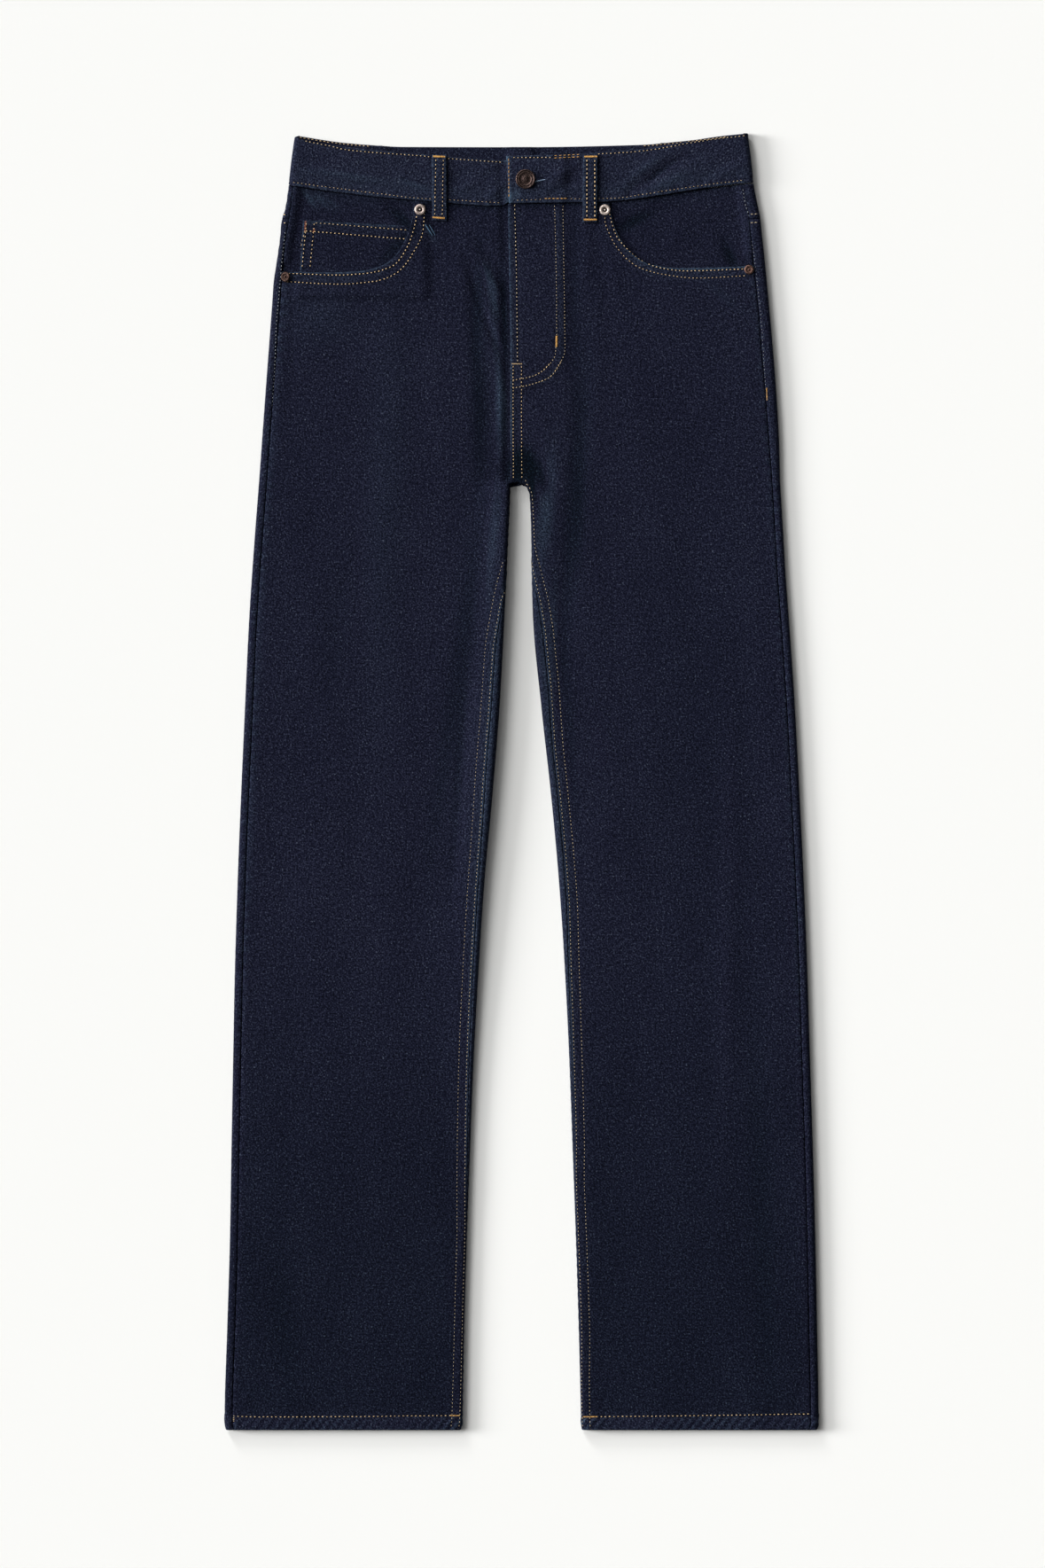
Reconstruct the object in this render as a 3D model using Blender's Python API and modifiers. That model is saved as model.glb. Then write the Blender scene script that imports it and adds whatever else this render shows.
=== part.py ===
"""Straight leg jeans, laid flat on their back on the plane z = 0.

+X is the wearer's left, +Y runs up to the waist and +Z up from the surface. The pieces are those that a
maker cuts: each panel is one wall of cloth, drawn as sections across it and thickened by Solidify.
The back panels wrap round the side folds and meet the front panels on top, at the seams.
Lengths are in millimetres until a mesh is made.
"""
import math
from collections import namedtuple

import bmesh
import bpy
from mathutils import Vector

MM = 0.001
RIGHT = -1  # the wearer's right, at -X
LEFT = 1

# ---- driving sizes -----------------------------------------------------------------------------------
CLOTH = 1.6  # wall of one panel
SEAM = 0.3  # clearance between two pieces
FOLD_SEAM = 1.1  # the same where a seam lies on a side fold, so that the inner faces clear too
HEM_FOLD_SEAM = 1.9  # and at the thicker hem
HEM_WALL = 2.6  # the turned-up hem, sewn flat
HEM_DEPTH = 10.0
HEM_BOTTOM = -555.9
BAND_WALL = 2.4  # the doubled waistband
LEG_HEIGHT = 6.7  # over both walls of a leg
BAND_HEIGHT = 8.1  # over both walls of the waistband
LAYER = CLOTH + SEAM  # what one more layer of cloth adds

CROTCH = 257.5
FLY_EDGE_TOP = -11.5  # the left front's edge at the waistband
FLY_EDGE_BOTTOM = -9.5  # and at the crotch
FLY_FACING_WIDTH = 47.5
FLY_FACING_CURVE = 30.0  # the J's bend at its lower end
FLY_FACING_BOTTOM = 336.5
UNDERLAP_WIDTH = 22.0
FLY_LAYERS_TOP = 455.0  # where the hidden fly pieces stop
FLY_RISE = 0.6  # what the facing adds under the left front
FLY_STEP = LAYER - FLY_RISE  # how far the right front drops to pass under it there

YOKE_SEAM_CENTRE = 442.7
YOKE_SEAM_SIDE = 482.2

POCKET_TOP = 416.0  # back pockets
POCKET_INSIDE = 42.0
POCKET_WIDTH = 138.0
POCKET_SIDE = 112.0
POCKET_POINT = 145.0

FACING_WALL = 1.0
FACING_TOP = LEG_HEIGHT - LAYER  # a facing's outer face, under the front panel
FACING_UNDER = 9.0  # how far a pocket facing runs on under the front
FACING_PAST = 11.0  # and past the opening's inner end
FACING_SIDE_GAP = 0.7  # from the back panel's lip at the side seam
COIN_SIDE = -187.3
COIN_END = -89.0
COIN_TOP_SIDE = 481.0
COIN_TOP_END = 475.8
COIN_UNDER = 8.0
COIN_LEAST = 461.0  # the coin pocket's lower edge where the opening rises

LOOP_WIDTH = 11.4
FRONT_LOOP_WIDTH = 12.6  # the front ones lie spread
LOOP_WALL = 1.8
BACK_LOOP_AT = 125.0
BACK_LOOP_BELOW = 18.0  # how far a loop runs on below the waistband

BUTTON_AT = (3.3, 516.0)
BUTTON_RADIUS = 8.4

UNDER_DROP = 1.1  # the waistband's right end is pressed down under the left one
OVER_RISE = 1.6  # which lies this much higher
OVER_END_SLANT = 2.6  # the overlapping end leans by this much, top to bottom

# ---- tables, a row for each section or fold -------------------------------------------------------------
# Distances from the centre line to the outer and inner fold, and how far inside them the seams lie.
LegSection = namedtuple("LegSection", "y outer inner outseam_in inseam_in")
RIGHT_LEG = [
    LegSection(-555.9, 253.2, 52.3, 7.0, 1.5),
    LegSection(-551.0, 254.4, 51.0, 7.0, 1.5),
    LegSection(-545.0, 254.6, 50.7, 7.0, 1.5),
    LegSection(-469.0, 252.4, 49.2, 7.0, 1.5),
    LegSection(-393.0, 250.1, 47.0, 7.0, 1.6),
    LegSection(-317.0, 248.8, 44.2, 7.0, 2.5),
    LegSection(-241.0, 247.4, 41.2, 7.0, 3.0),
    LegSection(-165.0, 245.9, 37.0, 7.0, 5.0),
    LegSection(-89.0, 243.6, 32.0, 7.0, 5.2),
    LegSection(-13.0, 240.6, 25.0, 7.0, 6.8),
    LegSection(63.0, 237.2, 18.9, 7.0, 7.0),
    LegSection(139.0, 233.6, 14.7, 7.0, 3.8),
    LegSection(215.0, 228.4, 11.1, 7.0, 1.0),
    LegSection(256.0, 225.2, 9.6, 7.0, 0.6),
    LegSection(329.0, 219.9, 9.6, 7.0, 0.6),
    LegSection(412.0, 213.7, 9.6, 7.2, 0.6),
    LegSection(428.0, 212.6, 9.6, 7.1, 0.6),
    LegSection(443.0, 210.4, 9.6, 5.9, 0.6),
    LegSection(458.0, 208.1, 9.6, 4.9, 0.6),
    LegSection(468.0, 206.9, 9.6, 5.5, 0.6),
    LegSection(477.0, 206.3, 9.6, 6.6, 0.6),
    LegSection(484.0, 204.9, 9.6, 6.3, 0.6),
    LegSection(492.0, 202.4, 9.6, 4.9, 0.6),
    LegSection(514.0, 199.3, 9.6, 4.7, 0.6),
    LegSection(524.0, 198.2, 9.6, 4.7, 0.6),
    LegSection(552.0, 194.7, 9.6, 4.2, 0.6),
]
LEFT_LEG = [
    LegSection(-555.9, 253.3, 51.9, 7.0, 1.2),
    LegSection(-551.0, 254.4, 51.2, 7.0, 1.2),
    LegSection(-545.0, 254.6, 51.0, 7.0, 1.2),
    LegSection(-469.0, 253.4, 49.0, 7.0, 1.2),
    LegSection(-393.0, 251.9, 46.6, 7.0, 1.2),
    LegSection(-317.0, 249.8, 43.8, 7.0, 1.6),
    LegSection(-241.0, 247.4, 41.0, 7.0, 2.1),
    LegSection(-165.0, 245.1, 37.3, 7.0, 3.6),
    LegSection(-89.0, 242.1, 32.3, 7.0, 6.0),
    LegSection(-13.0, 238.4, 25.4, 7.0, 6.3),
    LegSection(63.0, 234.4, 17.0, 7.0, 7.7),
    LegSection(139.0, 229.2, 9.8, 7.0, 6.5),
    LegSection(177.0, 226.4, 8.7, 7.0, 2.0),
    LegSection(215.0, 224.2, 8.2, 7.0, 1.0),
    LegSection(245.0, 222.4, 6.8, 7.0, 0.6),
    LegSection(253.0, 221.9, 4.2, 7.0, 0.6),
    LegSection(256.0, 221.7, 1.5, 7.0, 0.6),
    LegSection(290.0, 220.8, 1.5, 8.7, 0.6),
    LegSection(329.0, 218.7, 1.5, 9.6, 0.6),
    LegSection(370.0, 215.6, 1.5, 9.9, 0.6),
    LegSection(412.0, 211.8, 1.5, 9.6, 0.6),
    LegSection(443.0, 208.9, 1.5, 9.9, 0.6),
    LegSection(458.0, 207.4, 1.5, 10.0, 0.6),
    LegSection(468.0, 206.2, 1.5, 9.8, 0.6),
    LegSection(484.0, 204.5, 1.5, 9.9, 0.6),
    LegSection(492.0, 202.8, 1.5, 9.4, 0.6),
    LegSection(500.0, 201.1, 1.5, 8.9, 0.6),
    LegSection(514.0, 198.7, 1.5, 8.5, 0.6),
    LegSection(524.0, 197.6, 1.5, 8.4, 0.6),
    LegSection(552.0, 194.3, 1.5, 7.9, 0.6),
]

# The curved front pocket openings, from the side seam to the waistband.
EdgePoint = namedtuple("EdgePoint", "x y")
RIGHT_OPENING = [
    EdgePoint(-205.0, 436.9),
    EdgePoint(-185.0, 436.4),
    EdgePoint(-163.0, 436.4),
    EdgePoint(-141.7, 437.0),
    EdgePoint(-123.0, 440.9),
    EdgePoint(-110.6, 448.0),
    EdgePoint(-100.5, 462.5),
    EdgePoint(-94.6, 478.5),
    EdgePoint(-93.0, 485.5),
    EdgePoint(-92.0, 498.5),
]
LEFT_OPENING = [
    EdgePoint(199.0, 442.2),
    EdgePoint(180.0, 441.1),
    EdgePoint(157.0, 440.2),
    EdgePoint(133.4, 440.0),
    EdgePoint(110.2, 443.4),
    EdgePoint(96.1, 451.1),
    EdgePoint(84.0, 466.3),
    EdgePoint(78.8, 478.5),
    EdgePoint(76.9, 486.0),
    EdgePoint(75.4, 500.0),
]

# Top edge and depth of the waistband, along the front and round the back.
BandPoint = namedtuple("BandPoint", "x top depth")
FRONT_BAND_RIGHT = [
    BandPoint(-194.0, 551.4, 41.3),
    BandPoint(-170.0, 546.4, 39.8),
    BandPoint(-150.0, 543.9, 39.9),
    BandPoint(-122.0, 540.9, 40.2),
    BandPoint(-76.0, 537.0, 40.2),
    BandPoint(-17.0, 532.6, 39.4),
    BandPoint(-9.0, 532.6, 36.0),
    BandPoint(32.0, 532.6, 35.6),
]
FRONT_BAND_LEFT = [
    BandPoint(-14.0, 536.2, 41.0),
    BandPoint(40.0, 537.6, 41.6),
    BandPoint(76.0, 540.2, 43.2),
    BandPoint(100.0, 542.0, 42.6),
    BandPoint(120.0, 544.6, 42.2),
    BandPoint(143.0, 548.8, 42.6),
    BandPoint(170.0, 553.0, 43.0),
    BandPoint(194.0, 555.5, 42.7),
]
BACK_BAND = [
    BandPoint(-194.0, 553.9, 41.3),
    BandPoint(-150.0, 547.5, 41.0),
    BandPoint(-100.0, 544.2, 41.0),
    BandPoint(0.0, 544.0, 41.0),
    BandPoint(100.0, 545.9, 41.4),
    BandPoint(150.0, 550.4, 42.2),
    BandPoint(194.0, 555.9, 42.7),
]

# Soft ridges and troughs of the fronts: half length, half width, turn from the +Y direction, height.
Fold = namedtuple("Fold", "x y length width turn height")
FOLDS = [
    Fold(53.0, 374.0, 95.0, 11.0, 2.0, -0.8),
    Fold(39.0, 150.0, 95.0, 12.0, 6.0, -0.5),
    Fold(-117.0, 250.0, 150.0, 20.0, 2.0, 0.8),
    Fold(-158.0, 139.0, 45.0, 15.0, 4.0, -0.5),
    Fold(-203.0, -465.0, 50.0, 14.0, -8.0, -0.5),
    Fold(-125.0, -330.0, 110.0, 24.0, -4.0, 0.6),
    Fold(176.0, -127.0, 180.0, 16.0, 2.0, 0.7),
    Fold(206.0, -360.0, 150.0, 15.0, -2.0, -0.7),
    Fold(115.0, 60.0, 120.0, 26.0, 3.0, 0.5),
    Fold(-28.0, 430.0, 26.0, 7.0, 58.0, 0.6),
    Fold(-30.0, 388.0, 28.0, 8.0, 52.0, 0.6),
    Fold(-170.0, 395.0, 34.0, 18.0, 50.0, 0.5),
    Fold(172.0, 410.0, 30.0, 11.0, -40.0, 0.5),
]

# ---- heights that the sections stop at ------------------------------------------------------------------
LEG_ROWS = [-555.9, -551.0, -547.0, -545.0, -490.0, -430.0, -370.0, -310.0, -250.0, -190.0, -130.0, -70.0,
            -10.0, 45.0, 95.0, 135.0, 170.0, 205.0, 230.0, 246.0]
HIP_ROWS_FRONT = [268.0, 290.0, 314.0, 329.0]
RISE_FROM = 345.0  # above this the fronts' sections bend up to the top edge, by these shares
RISE_STEPS = (0.0, 0.3, 0.55, 0.74, 0.86, 0.905, 0.95, 1.0)
BACK_POCKET_ROW = 420.0  # the last back section that is raised over the pocket
HIP_ROWS_BACK = [254.7, 263.0, 276.0, 305.0, 340.0, 380.0, BACK_POCKET_ROW]


YOKE_ROWS = (29.5, 20.5, 10.0, 0.0)  # below the waistband seam

# ---- columns -----------------------------------------------------------------------------------------
FRONT_MIDDLE = 12  # of a front, between its side seam and its inner columns
CLUSTER = (0.0, 0.4, 2.0, 3.8, 6.5, 11.5)  # the inner ones, measured round the cloth from the inseam
FLY_CLUSTER = (0.0, 3.0, 6.5, 11.0, 15.5, 20.0)  # the same ones in the hip, from the centre line
COIN_COLUMNS = (5.5, 11.0, 42.0)  # of the right front's top, past the coin pocket's end
INNER_WRAP = 7  # of a back leg round its inner fold
RIM_STEP = 0.4  # the first of these, short so that the edge's wall stands square
OUTER_WRAP = 7  # and round its outer fold
BACK_FLAT = (11.0, 23.0, 35.0, 75.0, 110.0, 147.0, 185.0, 197.0)  # on the surface, from the centre line
BAND_FOLD = 6  # steps round each fold of the waistband
# The waistband's columns along the right front, the back and the left front:
BAND_COLUMNS_RIGHT = (-183.0, -165.0, -140.0, -110.0, -80.0, -50.0, -24.0, -16.0, -9.0, 15.0, 30.0)
HALF_BACK = (8.0, 16.0, 40.0, 75.0, 109.0, 117.0, 133.0, 141.0, 160.0, 181.0)
BAND_COLUMNS_BACK = tuple(-x for x in reversed(HALF_BACK)) + HALF_BACK
BAND_COLUMNS_LEFT = (-13.0, -2.0, 15.0, 34.0, 43.0, 70.0, 100.0, 130.0, 160.0, 183.0)


# ---- small helpers -----------------------------------------------------------------------------------
def mix(a, b, t):
    return a + (b - a) * t


def clamp(t):
    return max(0.0, min(1.0, t))


def ease(t):
    """0 below 0, 1 above 1, and smooth between."""
    t = clamp(t)
    return t * t * (3.0 - 2.0 * t)


def spaced(start, end, count):
    """count values between start and end, both left out."""
    return [mix(start, end, (k + 1) / (count + 1)) for k in range(count)]


def read_table(table, key, column, at):
    """The column's value at key = at, on a smooth curve through the table's rows."""
    if (getattr(table[-1], key) - getattr(table[0], key)) < 0:
        table = list(reversed(table))
    keys = [getattr(row, key) for row in table]
    values = [getattr(row, column) for row in table]
    if at <= keys[0]:
        return values[0]
    if at >= keys[-1]:
        return values[-1]
    k = max(i for i in range(len(keys) - 1) if keys[i] <= at)
    slopes = [(values[i + 1] - values[i]) / (keys[i + 1] - keys[i]) for i in range(len(keys) - 1)]

    def tangent(i):
        if i == 0 or i == len(keys) - 1:
            return slopes[min(i, len(slopes) - 1)]
        before, after = slopes[i - 1], slopes[i]
        if before * after <= 0.0:
            return 0.0
        return 2.0 * before * after / (before + after)

    span = keys[k + 1] - keys[k]
    t = (at - keys[k]) / span
    rise, run = values[k + 1] - values[k], t * t * (3.0 - 2.0 * t)
    start = (t - 2.0 * t * t + t ** 3) * span * tangent(k)
    end = (t ** 3 - t * t) * span * tangent(k + 1)
    return values[k] + rise * run + start + end


def along(points, t):
    """The place at share t of a polyline's length."""
    lengths = [math.dist(points[i], points[i + 1]) for i in range(len(points) - 1)]
    left = clamp(t) * sum(lengths)
    for i, length in enumerate(lengths):
        if left <= length or i == len(lengths) - 1:
            share = left / length
            return mix(points[i][0], points[i + 1][0], share), mix(points[i][1], points[i + 1][1], share)
        left -= length


def leg_table(side):
    return RIGHT_LEG if side == RIGHT else LEFT_LEG


def leg(side, column, y):
    return read_table(leg_table(side), "y", column, y)


def outer_edge(side, y):
    return side * leg(side, "outer", y)


def inner_edge(side, y):
    return side * leg(side, "inner", y)


# ---- cloth heights -------------------------------------------------------------------------------------
def fold_profile(inside, height):
    """Height of the upper surface of a side fold, a distance inside its outermost line."""
    radius = height / 2.0
    across = radius - clamp(inside / radius) * radius
    return radius + math.sqrt(max(radius * radius - across * across, 0.0))


def arc_to_inside(s, radius):
    """Distance inside the fold's outermost line after going s round it."""
    if abs(s) < radius * math.pi / 2.0:
        return radius * (1.0 - math.cos(s / radius))
    return radius + abs(s) - radius * math.pi / 2.0


def inside_to_arc(inside, radius):
    if inside < radius:
        return radius * math.acos(1.0 - inside / radius)
    return radius * math.pi / 2.0 + inside - radius


def inseam_half(side, y):
    """Half the clearance of the inseam, wider where it lies on the fold."""
    if leg(side, "inseam_in", y) > LEG_HEIGHT / 2.0 + 0.4:
        return SEAM / 2.0
    in_hem = y < HEM_BOTTOM + HEM_DEPTH + 1.0
    return (HEM_FOLD_SEAM if in_hem else FOLD_SEAM) / 2.0


def outseam_x(side, y, clearance=SEAM / 2.0):
    return outer_edge(side, y) - side * (leg(side, "outseam_in", y) + clearance)


def soft_folds(x, y):
    total = 0.0
    for fold in FOLDS:
        turn = math.radians(fold.turn)
        dx, dy = x - fold.x, y - fold.y
        run = (dx * math.sin(turn) + dy * math.cos(turn)) / fold.length
        off = (dx * math.cos(turn) - dy * math.sin(turn)) / fold.width
        total += fold.height * math.exp(-run * run - off * off)
    return total


def box_share(x, y, low, high, fade):
    """1 inside the box from low to high, falling to 0 over fade outside it."""
    dx = max(low[0] - x, x - high[0], 0.0)
    dy = max(low[1] - y, y - high[1], 0.0)
    return 1.0 - ease(math.hypot(dx, dy) / fade)


def fly_edge(y):
    """X of the left front's edge on the centre line."""
    return mix(FLY_EDGE_BOTTOM, FLY_EDGE_TOP, ease((y - 360.0) / 140.0))


def front_relief(side, x, y):
    """How far a front's outer surface lies above LEG_HEIGHT, away from its side folds."""
    rise = soft_folds(x, y)
    rise += 0.4 * (1.0 - ease((y - HEM_BOTTOM - HEM_DEPTH - 1.0) / 2.0))
    if side == RIGHT:
        rise += LAYER * box_share(x, y, (COIN_SIDE - 4.0, 418.0), (COIN_END + 5.0, 600.0), 5.0)
        near = ease((x - (fly_edge(y) - 7.0)) / 4.5) * ease((y - CROTCH + 2.0) / 3.0)
        far = ease((x - (fly_edge(y) + 1.0)) / 4.5)
        beside = ease((y - FLY_FACING_BOTTOM + 20.0) / 10.0)
        rise = mix(rise, -mix(LAYER, FLY_STEP, beside), near)
        rise -= LAYER * far * beside * (1.0 - ease((y - FLY_LAYERS_TOP - 2.0) / 14.0))
    else:
        high = (fly_edge(y) + FLY_FACING_WIDTH + 2.0, 600.0)
        rise += FLY_RISE * box_share(x, y, (fly_edge(y), FLY_FACING_BOTTOM - 3.0), high, 7.0)
    return rise


def back_rise(side, x, y):
    """Height of a back panel's underside, which lies over its pocket and loops."""
    out = side * x
    pocket_low = (POCKET_INSIDE - 6.0, POCKET_TOP - POCKET_POINT - 7.0)
    pocket_high = (POCKET_INSIDE + POCKET_WIDTH + 4.5, BACK_POCKET_ROW + 0.5)
    rise = box_share(out, y, pocket_low, pocket_high, 9.0)
    for at in (0.0, BACK_LOOP_AT):
        half = LOOP_WIDTH / 2.0 + 2.3
        loop_low = back_band_bottom(side * at) - BACK_LOOP_BELOW - 2.0
        rise = max(rise, box_share(out, y, (at - half, loop_low), (at + half, 600.0), 6.5))
    return LAYER * rise


# ---- waistband lines ---------------------------------------------------------------------------------
def band_bottom(table, x):
    return read_table(table, "x", "top", x) - read_table(table, "x", "depth", x)


def straight_between(columns, x, value):
    """value(x) on straight lines between the columns, as the waistband's edge runs."""
    for a, b in zip(columns, columns[1:]):
        if a <= x <= b:
            return mix(value(a), value(b), (x - a) / (b - a))
    return value(x)


def front_band_bottom(side, x):
    table = FRONT_BAND_RIGHT if side == RIGHT else FRONT_BAND_LEFT
    columns = BAND_COLUMNS_RIGHT if side == RIGHT else BAND_COLUMNS_LEFT
    return straight_between(columns, x, lambda at: band_bottom(table, at))


def back_band_bottom(x):
    return straight_between(BAND_COLUMNS_BACK, x, lambda at: band_bottom(BACK_BAND, at))


def yoke_seam(side, x):
    """Y of the seam between the yoke and the back leg."""
    return mix(YOKE_SEAM_CENTRE, YOKE_SEAM_SIDE, clamp(side * x / 200.0))


# ---- meshes ------------------------------------------------------------------------------------------
def material(name, rgb, roughness, metallic=0.0):
    made = bpy.data.materials.new(name)
    made.use_nodes = True
    shader = made.node_tree.nodes["Principled BSDF"]
    shader.inputs["Base Color"].default_value = (*rgb, 1.0)
    shader.inputs["Roughness"].default_value = roughness
    shader.inputs["Metallic"].default_value = metallic
    made.diffuse_color = (*rgb, 1.0)
    return made


def denim(name, shade=1.0):
    return material(name, (0.0105 * shade, 0.0125 * shade, 0.026 * shade), 0.85)


def copper(name):
    return material(name, (0.34, 0.24, 0.20), 0.42, 1.0)


def add_object(name, mesh, look, parent):
    made = bpy.data.objects.new(name, mesh)
    mesh.materials.append(look)
    parts.objects.link(made)
    made.parent = parent
    return made


def cloth_panel(name, rows, wall, look, facing_up=True, thick_rows=None, thick_wall=None):
    """One wall of cloth: a grid through rows of (x, y, z), its outer face, thickened inwards."""
    grid = bmesh.new()
    points = [[grid.verts.new(Vector(p) * MM) for p in row] for row in rows]
    for low, high in zip(points, points[1:]):
        for k in range(len(low) - 1):
            corners = (low[k], low[k + 1], high[k + 1], high[k])
            grid.faces.new(corners if facing_up else tuple(reversed(corners)))
    mesh = bpy.data.meshes.new(name)
    grid.verts.index_update()
    heavy = [v.index for row in points[:thick_rows or 0] for v in row]
    grid.to_mesh(mesh)
    grid.free()
    made = add_object(name, mesh, look, garment)
    mesh.shade_smooth()
    solidify = made.modifiers.new("wall", "SOLIDIFY")
    solidify.offset = -1.0
    solidify.use_even_offset = True
    solidify.thickness = (thick_wall or wall) * MM
    if heavy:
        made.vertex_groups.new(name="turned hem").add(heavy, 1.0, "REPLACE")
        solidify.vertex_group = "turned hem"
        solidify.thickness_vertex_group = wall / thick_wall
    return made


# ---- front legs --------------------------------------------------------------------------------------
def front_row(side, y):
    """A leg's section across the front, from the side seam to the inseam."""
    radius = LEG_HEIGHT / 2.0
    outer, inner = outer_edge(side, y), inner_edge(side, y)
    start = inside_to_arc(leg(side, "outseam_in", y), radius) + SEAM / 2.0
    end = inside_to_arc(leg(side, "inseam_in", y), radius) + inseam_half(side, y)
    inner_part = [end + s for s in CLUSTER]
    width = abs(outer - inner)
    first = arc_to_inside(start, radius)
    last = width - arc_to_inside(inner_part[-1], radius)
    offsets = [first] + spaced(first, last, FRONT_MIDDLE)
    offsets += [width - arc_to_inside(s, radius) for s in reversed(inner_part)]
    row = []
    for inside in offsets:
        x = outer - side * inside
        low = fold_profile(min(inside, width - inside), LEG_HEIGHT)
        flat = ease((min(inside, width - inside) - 2.0) / 14.0)
        row.append((x, y, low + flat * front_relief(side, x, y)))
    return row


def front_hip_end(side, y):
    """X where a front ends on the centre line."""
    return 0.0 if side == RIGHT else fly_edge(y)


def front_hip_row(side, y):
    """A hip section across the front, from the side seam to the centre line."""
    seam = outseam_x(side, y)
    end = front_hip_end(side, y)
    cluster = [end + side * s for s in FLY_CLUSTER]
    xs = [seam] + spaced(seam, cluster[-1], FRONT_MIDDLE) + cluster[::-1]
    return [(x, y) for x in xs]


def front_top_row(side):
    """The top edge of a front: the pocket opening, then the waistband seam."""
    opening = RIGHT_OPENING if side == RIGHT else LEFT_OPENING
    row = [(outseam_x(side, opening[0].y), opening[0].y)] + [tuple(p) for p in opening[1:]]
    row[-1] = (row[-1][0], front_band_bottom(side, row[-1][0]) - SEAM)
    end = front_hip_end(side, 500.0)
    cluster = [end + side * s for s in FLY_CLUSTER]
    if side == RIGHT:
        middle = [COIN_END + past for past in COIN_COLUMNS]
    else:
        middle = spaced(row[-1][0], cluster[-1], 1 + FRONT_MIDDLE - len(row))
    xs = middle + cluster[::-1]
    return row + [(x, front_band_bottom(side, x) - SEAM) for x in xs]


def crotch_shift(side, x, y):
    """Height added in the crotch's first flat section, so that the left front clears the right one."""
    if y > CROTCH + 1.0:
        return 0.0
    if side == RIGHT:
        return -1.0 * ease((x - fly_edge(y) + 3.0) / 4.0)
    return 0.3 * (1.0 - ease((x + 2.0) / 6.0))


def front_leg(side, name):
    rows = [front_row(side, y) for y in LEG_ROWS]
    rows.append(front_row(side, CROTCH - 4.6))
    rows.append(front_row(side, CROTCH - (1.7 if side == RIGHT else 2.4)))
    flat_rows = [front_hip_row(side, CROTCH + (0.6 if side == RIGHT else 0.0))]
    flat_rows += [front_hip_row(side, CROTCH + 5.0)]
    flat_rows += [front_hip_row(side, y) for y in HIP_ROWS_FRONT]
    top = front_top_row(side)
    base = front_hip_row(side, RISE_FROM)
    for t in RISE_STEPS:
        line = [(mix(a[0], b[0], t), mix(a[1], b[1], t)) for a, b in zip(base, top)]
        y = line[0][1]
        shift = outseam_x(side, y) - line[0][0]
        count = len(line) - 1
        line = [(x + shift * (1.0 - k / count) ** 3, y) for k, (x, y) in enumerate(line)]
        flat_rows.append(line)
    for line in flat_rows:
        rows.append([(x, y, hip_height(side, x, y) + crotch_shift(side, x, y)) for x, y in line])
    look = denim("denim front " + ("right" if side == RIGHT else "left"))
    return cloth_panel(name, rows, CLOTH, look, side == RIGHT, 3, HEM_WALL)


def hip_height(side, x, y):
    inside = side * (outer_edge(side, y) - x)
    return fold_profile(inside, LEG_HEIGHT) + ease((inside - 2.0) / 10.0) * front_relief(side, x, y)


# ---- back legs and yokes -----------------------------------------------------------------------------
def wrapped(fold_x, inward, s, radius, y):
    """A point s round a side fold, up if s is positive; inward is the direction of the cloth."""
    inside = arc_to_inside(s, radius)
    if abs(s) < radius * math.pi / 2.0:
        z = radius + radius * math.sin(s / radius)
    else:
        z = radius + math.copysign(radius, s)
    return (fold_x + inward * inside, y, z)


def outer_wrap(side, y, y_top=None):
    """From the surface round the outer fold up to the side seam."""
    radius = LEG_HEIGHT / 2.0
    start = -radius * math.pi / 2.0
    end = inside_to_arc(leg(side, "outseam_in", y), radius) - SEAM / 2.0
    steps = [mix(start, end, k / OUTER_WRAP) for k in range(OUTER_WRAP + 1)]
    ups = [clamp((s / start - 1.0) / -2.0) for s in steps]
    ys = [y if y_top is None else mix(y, y_top, up) for up in ups]
    return [wrapped(outer_edge(side, yy), -side, s, radius, yy) for s, yy in zip(steps, ys)]


def back_flat_xs(side, y, start_x):
    """Columns that lie on the surface, from start_x out to the outer fold."""
    out = abs(outer_edge(side, y)) - LEG_HEIGHT / 2.0
    inner = side * start_x
    share = [(f - BACK_FLAT[0] + 4.0) / (212.0 - BACK_FLAT[0] + 4.0) for f in BACK_FLAT]
    return [side * mix(inner, out, t) for t in share]


def back_leg_row(side, y):
    radius = LEG_HEIGHT / 2.0
    start = inside_to_arc(leg(side, "inseam_in", y), radius) - inseam_half(side, y)
    end = -radius * math.pi / 2.0
    fold_x = inner_edge(side, y)
    steps = [start] + [mix(start - RIM_STEP, end, k / (INNER_WRAP - 1)) for k in range(INNER_WRAP)]
    row = [wrapped(fold_x, side, s, radius, y) for s in steps]
    for x in back_flat_xs(side, y, row[-1][0]):
        row.append((x, y, back_rise(side, x, y)))
    return row + outer_wrap(side, y)


def back_hip_xs(side, y):
    inner = [side * (SEAM / 2.0 + 1.5 * k) for k in range(INNER_WRAP + 1)]
    out = abs(outer_edge(side, y)) - LEG_HEIGHT / 2.0
    return inner + [side * min(f, out - 4.0) for f in BACK_FLAT]


def back_hip_row(side, y):
    """A hip section, from the centre line round the outer fold."""
    row = [(x, y, back_rise(side, x, y)) for x in back_hip_xs(side, y)]
    return row + outer_wrap(side, y)


def seam_row(side, offset, share=1.0, base=BACK_POCKET_ROW):
    """A section bent to follow the yoke seam; share 0 is straight across at the height base."""
    y_side = mix(base, YOKE_SEAM_SIDE + offset, share)
    row = []
    for x in back_hip_xs(side, y_side):
        y = mix(base, yoke_seam(side, x) + offset, share)
        row.append((x, y, back_rise(side, x, y)))
    return row + outer_wrap(side, y_side)


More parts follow.
